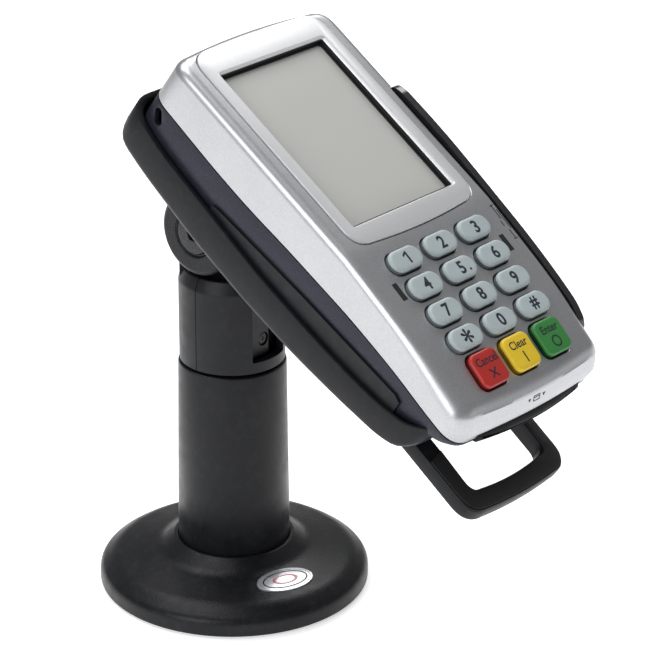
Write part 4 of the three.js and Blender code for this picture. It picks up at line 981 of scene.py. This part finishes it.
finish(skin_frame(circle(2.3), circle(1.7), PRINT_LIFT, PRINT_LIFT + 0.03, FUNCTION_ROW),
       "key_enter_mark", "key_enter", "key_green", look="ink")

# ---- marks on the cover --------------------------------------------------------------------------
SURFACE = -KEY_PROUD
for side in (-1, 1):
    low, high = sorted((side * 29.2, side * 31.6))
    mark = block(low, high, -13.3, -6, SURFACE - 0.1, SURFACE + 0.05, KEYPAD)
    finish(mark, "light_pipe_" + ("left" if side < 0 else "right"), "head", "reader_plastic",
           look="display_black")
icon_lines = [(36.1, 2.6, 6.0, 0.35, 90), (36.1, -7.6, 4.0, 0.35, 90), (37.3, -1.0, 9.0, 0.35, 90),
              (35.2, -2.4, 2.6, 0.35, 90), (36.2, 5.6, 2.0, 0.35, 0), (36.2, -9.6, 2.0, 0.35, 0)]
for number, (x, y, length, width, angle) in enumerate(icon_lines, 1):
    finish(stroke(x, y, length, width, angle, SURFACE + 0.04), "swipe_icon_%d" % number, "head",
           "cover_silver", look="ink")
low_point, high_point = (Vector(shoulder_loop(k)[0][1:]) for k in (1, 2))
along = high_point - low_point
middle = (low_point + high_point) / 2
END_WALL = (HEAD @ Matrix.Translation((0, middle.x, middle.y))
            @ Matrix.Rotation(math.atan2(along.y, along.x), 4, "X"))
card_icon = skin_frame(rounded(1.9, -1.2, 1.2, 0.3, 4), rounded(1.55, -0.85, 0.85, 0.2, 4),
                       -0.5, 0.06, END_WALL)
finish(card_icon, "card_icon_outline", "head", "cover_silver", look="ink")
finish(block(-1.55, 1.55, 0.15, 0.5, -0.5, 0.06, END_WALL), "card_icon_band", "head",
       "cover_silver", look="ink")
for side in (-1, 1):
    arrow = [(side * 4.1, -0.7), (side * 4.9, 0.6), (side * 3.3, 0.6)]
    finish(prism(arrow if side > 0 else arrow[::-1], -0.5, 0.06, END_WALL),
           "card_icon_arrow_" + ("left" if side < 0 else "right"), "head", "cover_silver", look="ink")

# ---- card slot and stripe rail -------------------------------------------------------------------
def lip_section(x, inset=0.0):
    """A slice of the lip at x, as a ring of points; inset rounds off its two ends."""
    front = -98.0 + 2.4 * (x / MOUTH_HALF) ** 2 + inset
    top, low = arch(x, -14.0, 1.2) - inset, arch(x, -18.8, 0.5) + inset
    slice_line = [(-91.5, top), (front + 2.6, top), (front + 1.7, top - 0.25),
                  (front + 0.4, top - 1.3), (front, top - 2.0), (front, low + 1.0),
                  (front + 0.3, low + 0.5), (front + 0.9, low + 0.1), (front + 1.5, low),
                  (-91.5, low)]
    return [(x, y, n) for y, n in slice_line]


lip_slices = [lip_section(-MOUTH_HALF, 0.6), lip_section(-MOUTH_HALF + 0.2, 0.25)]
lip_slices += [lip_section((MOUTH_HALF - 0.7) * (k / 20 - 1)) for k in range(41)]
lip_slices += [lip_section(MOUTH_HALF - 0.2, 0.25), lip_section(MOUTH_HALF, 0.6)]
lip = rings(lip_slices, HEAD)
cut(lip, block(-27.4, 27.4, -110, -80, -17.5, -16.3, HEAD))
finish(lip, "card_slot_mouth", "head", "rail_gloss", ["card_slot_lip"], look="lip_plastic", sharp=40)
RAIL_PROFILE = [(36, -11.7), (36, -3), (34.6, -1), (31, 0.1), (18, 0.8), (5, 1.1), (-13, 0.8),
                (-37, 0.2), (-49, -0.5), (-61, -1.6), (-71, -2.9), (-77, -5.2), (-79.4, -7.6),
                (-80, -9.6), (-80, -11.7)]
rail = side_prism(softened(RAIL_PROFILE, 5, closed=True), 39.5, 42.6)
weld(rail, block(38.2, 42.0, -79.6, 35.6, -11.7, -9.9, HEAD))
cut(rail, block(38.5, 41.7, -43.4, -34.6, -9, -3, HEAD))
finish(rail, "stripe_rail_bar", "head", "rail_gloss", ["stripe_rail"], bevel=0.7)

# ---- CAD nodes that stay -------------------------------------------------------------------------
slots = {row["node"]: row["material_slot"] for row in frame["record"]["subparts"]}
for node, obj in frame["nodes"].items():
    obj.data.materials.clear()
    obj.data.materials.append(LOOKS[slots[node]])
    if not obj.hide_render and node not in ("main_board", "keypad_board"):
        modifier = obj.modifiers.new("bevel", "BEVEL")
        modifier.width = 0.15 * MM
        modifier.segments = 2
        modifier.limit_method = "ANGLE"
        modifier.angle_limit = math.radians(40)

# ---- floor and light -----------------------------------------------------------------------------
floor_mesh = bpy.data.meshes.new("floor")
floor_mesh.from_pydata([(-6, -6, 0), (6, -6, 0), (6, 6, 0), (-6, 6, 0)], [], [(0, 1, 2, 3)])
floor = bpy.data.objects.new("floor", floor_mesh)
bpy.context.scene.collection.objects.link(floor)
floor_look = bpy.data.materials.new("pale_floor")
floor_look.use_nodes = True
floor_shader = floor_look.node_tree.nodes["Principled BSDF"]
floor_shader.inputs["Base Color"].default_value = (0.93, 0.93, 0.93, 1)
floor_shader.inputs["Roughness"].default_value = 0.9
floor_shader.inputs["Specular IOR Level"].default_value = 0.1
floor_shader.inputs["Emission Color"].default_value = (1, 1, 1, 1)
floor_shader.inputs["Emission Strength"].default_value = 0.55
floor_mesh.materials.append(floor_look)

world = bpy.data.worlds.new("world")
bpy.context.scene.world = world
world.use_nodes = True
world.node_tree.nodes["Background"].inputs["Color"].default_value = (1, 1, 1, 1)
world.node_tree.nodes["Background"].inputs["Strength"].default_value = 0.24
bpy.context.scene.view_settings.view_transform = "Standard"


def soft_light(name, place, aim, width, height, power):
    data = bpy.data.lights.new(name, "AREA")
    data.shape = "RECTANGLE"
    data.size = width
    data.size_y = height
    data.energy = power
    lamp = bpy.data.objects.new(name, data)
    lamp.location = place
    lamp.rotation_euler = (Vector(aim) - Vector(place)).to_track_quat("-Z", "Y").to_euler()
    bpy.context.scene.collection.objects.link(lamp)


soft_light("soft_left", (-1.35, -0.15, 0.7), (0, -0.05, 0.1), 0.7, 0.9, 8)
soft_light("soft_top", (-0.1, 0.4, 1.6), (0, -0.03, 0.1), 1.2, 1.2, 14)
soft_light("soft_face", (0.9, 0.4, 1.3), (0, -0.04, 0.2), 0.8, 0.6, 8)
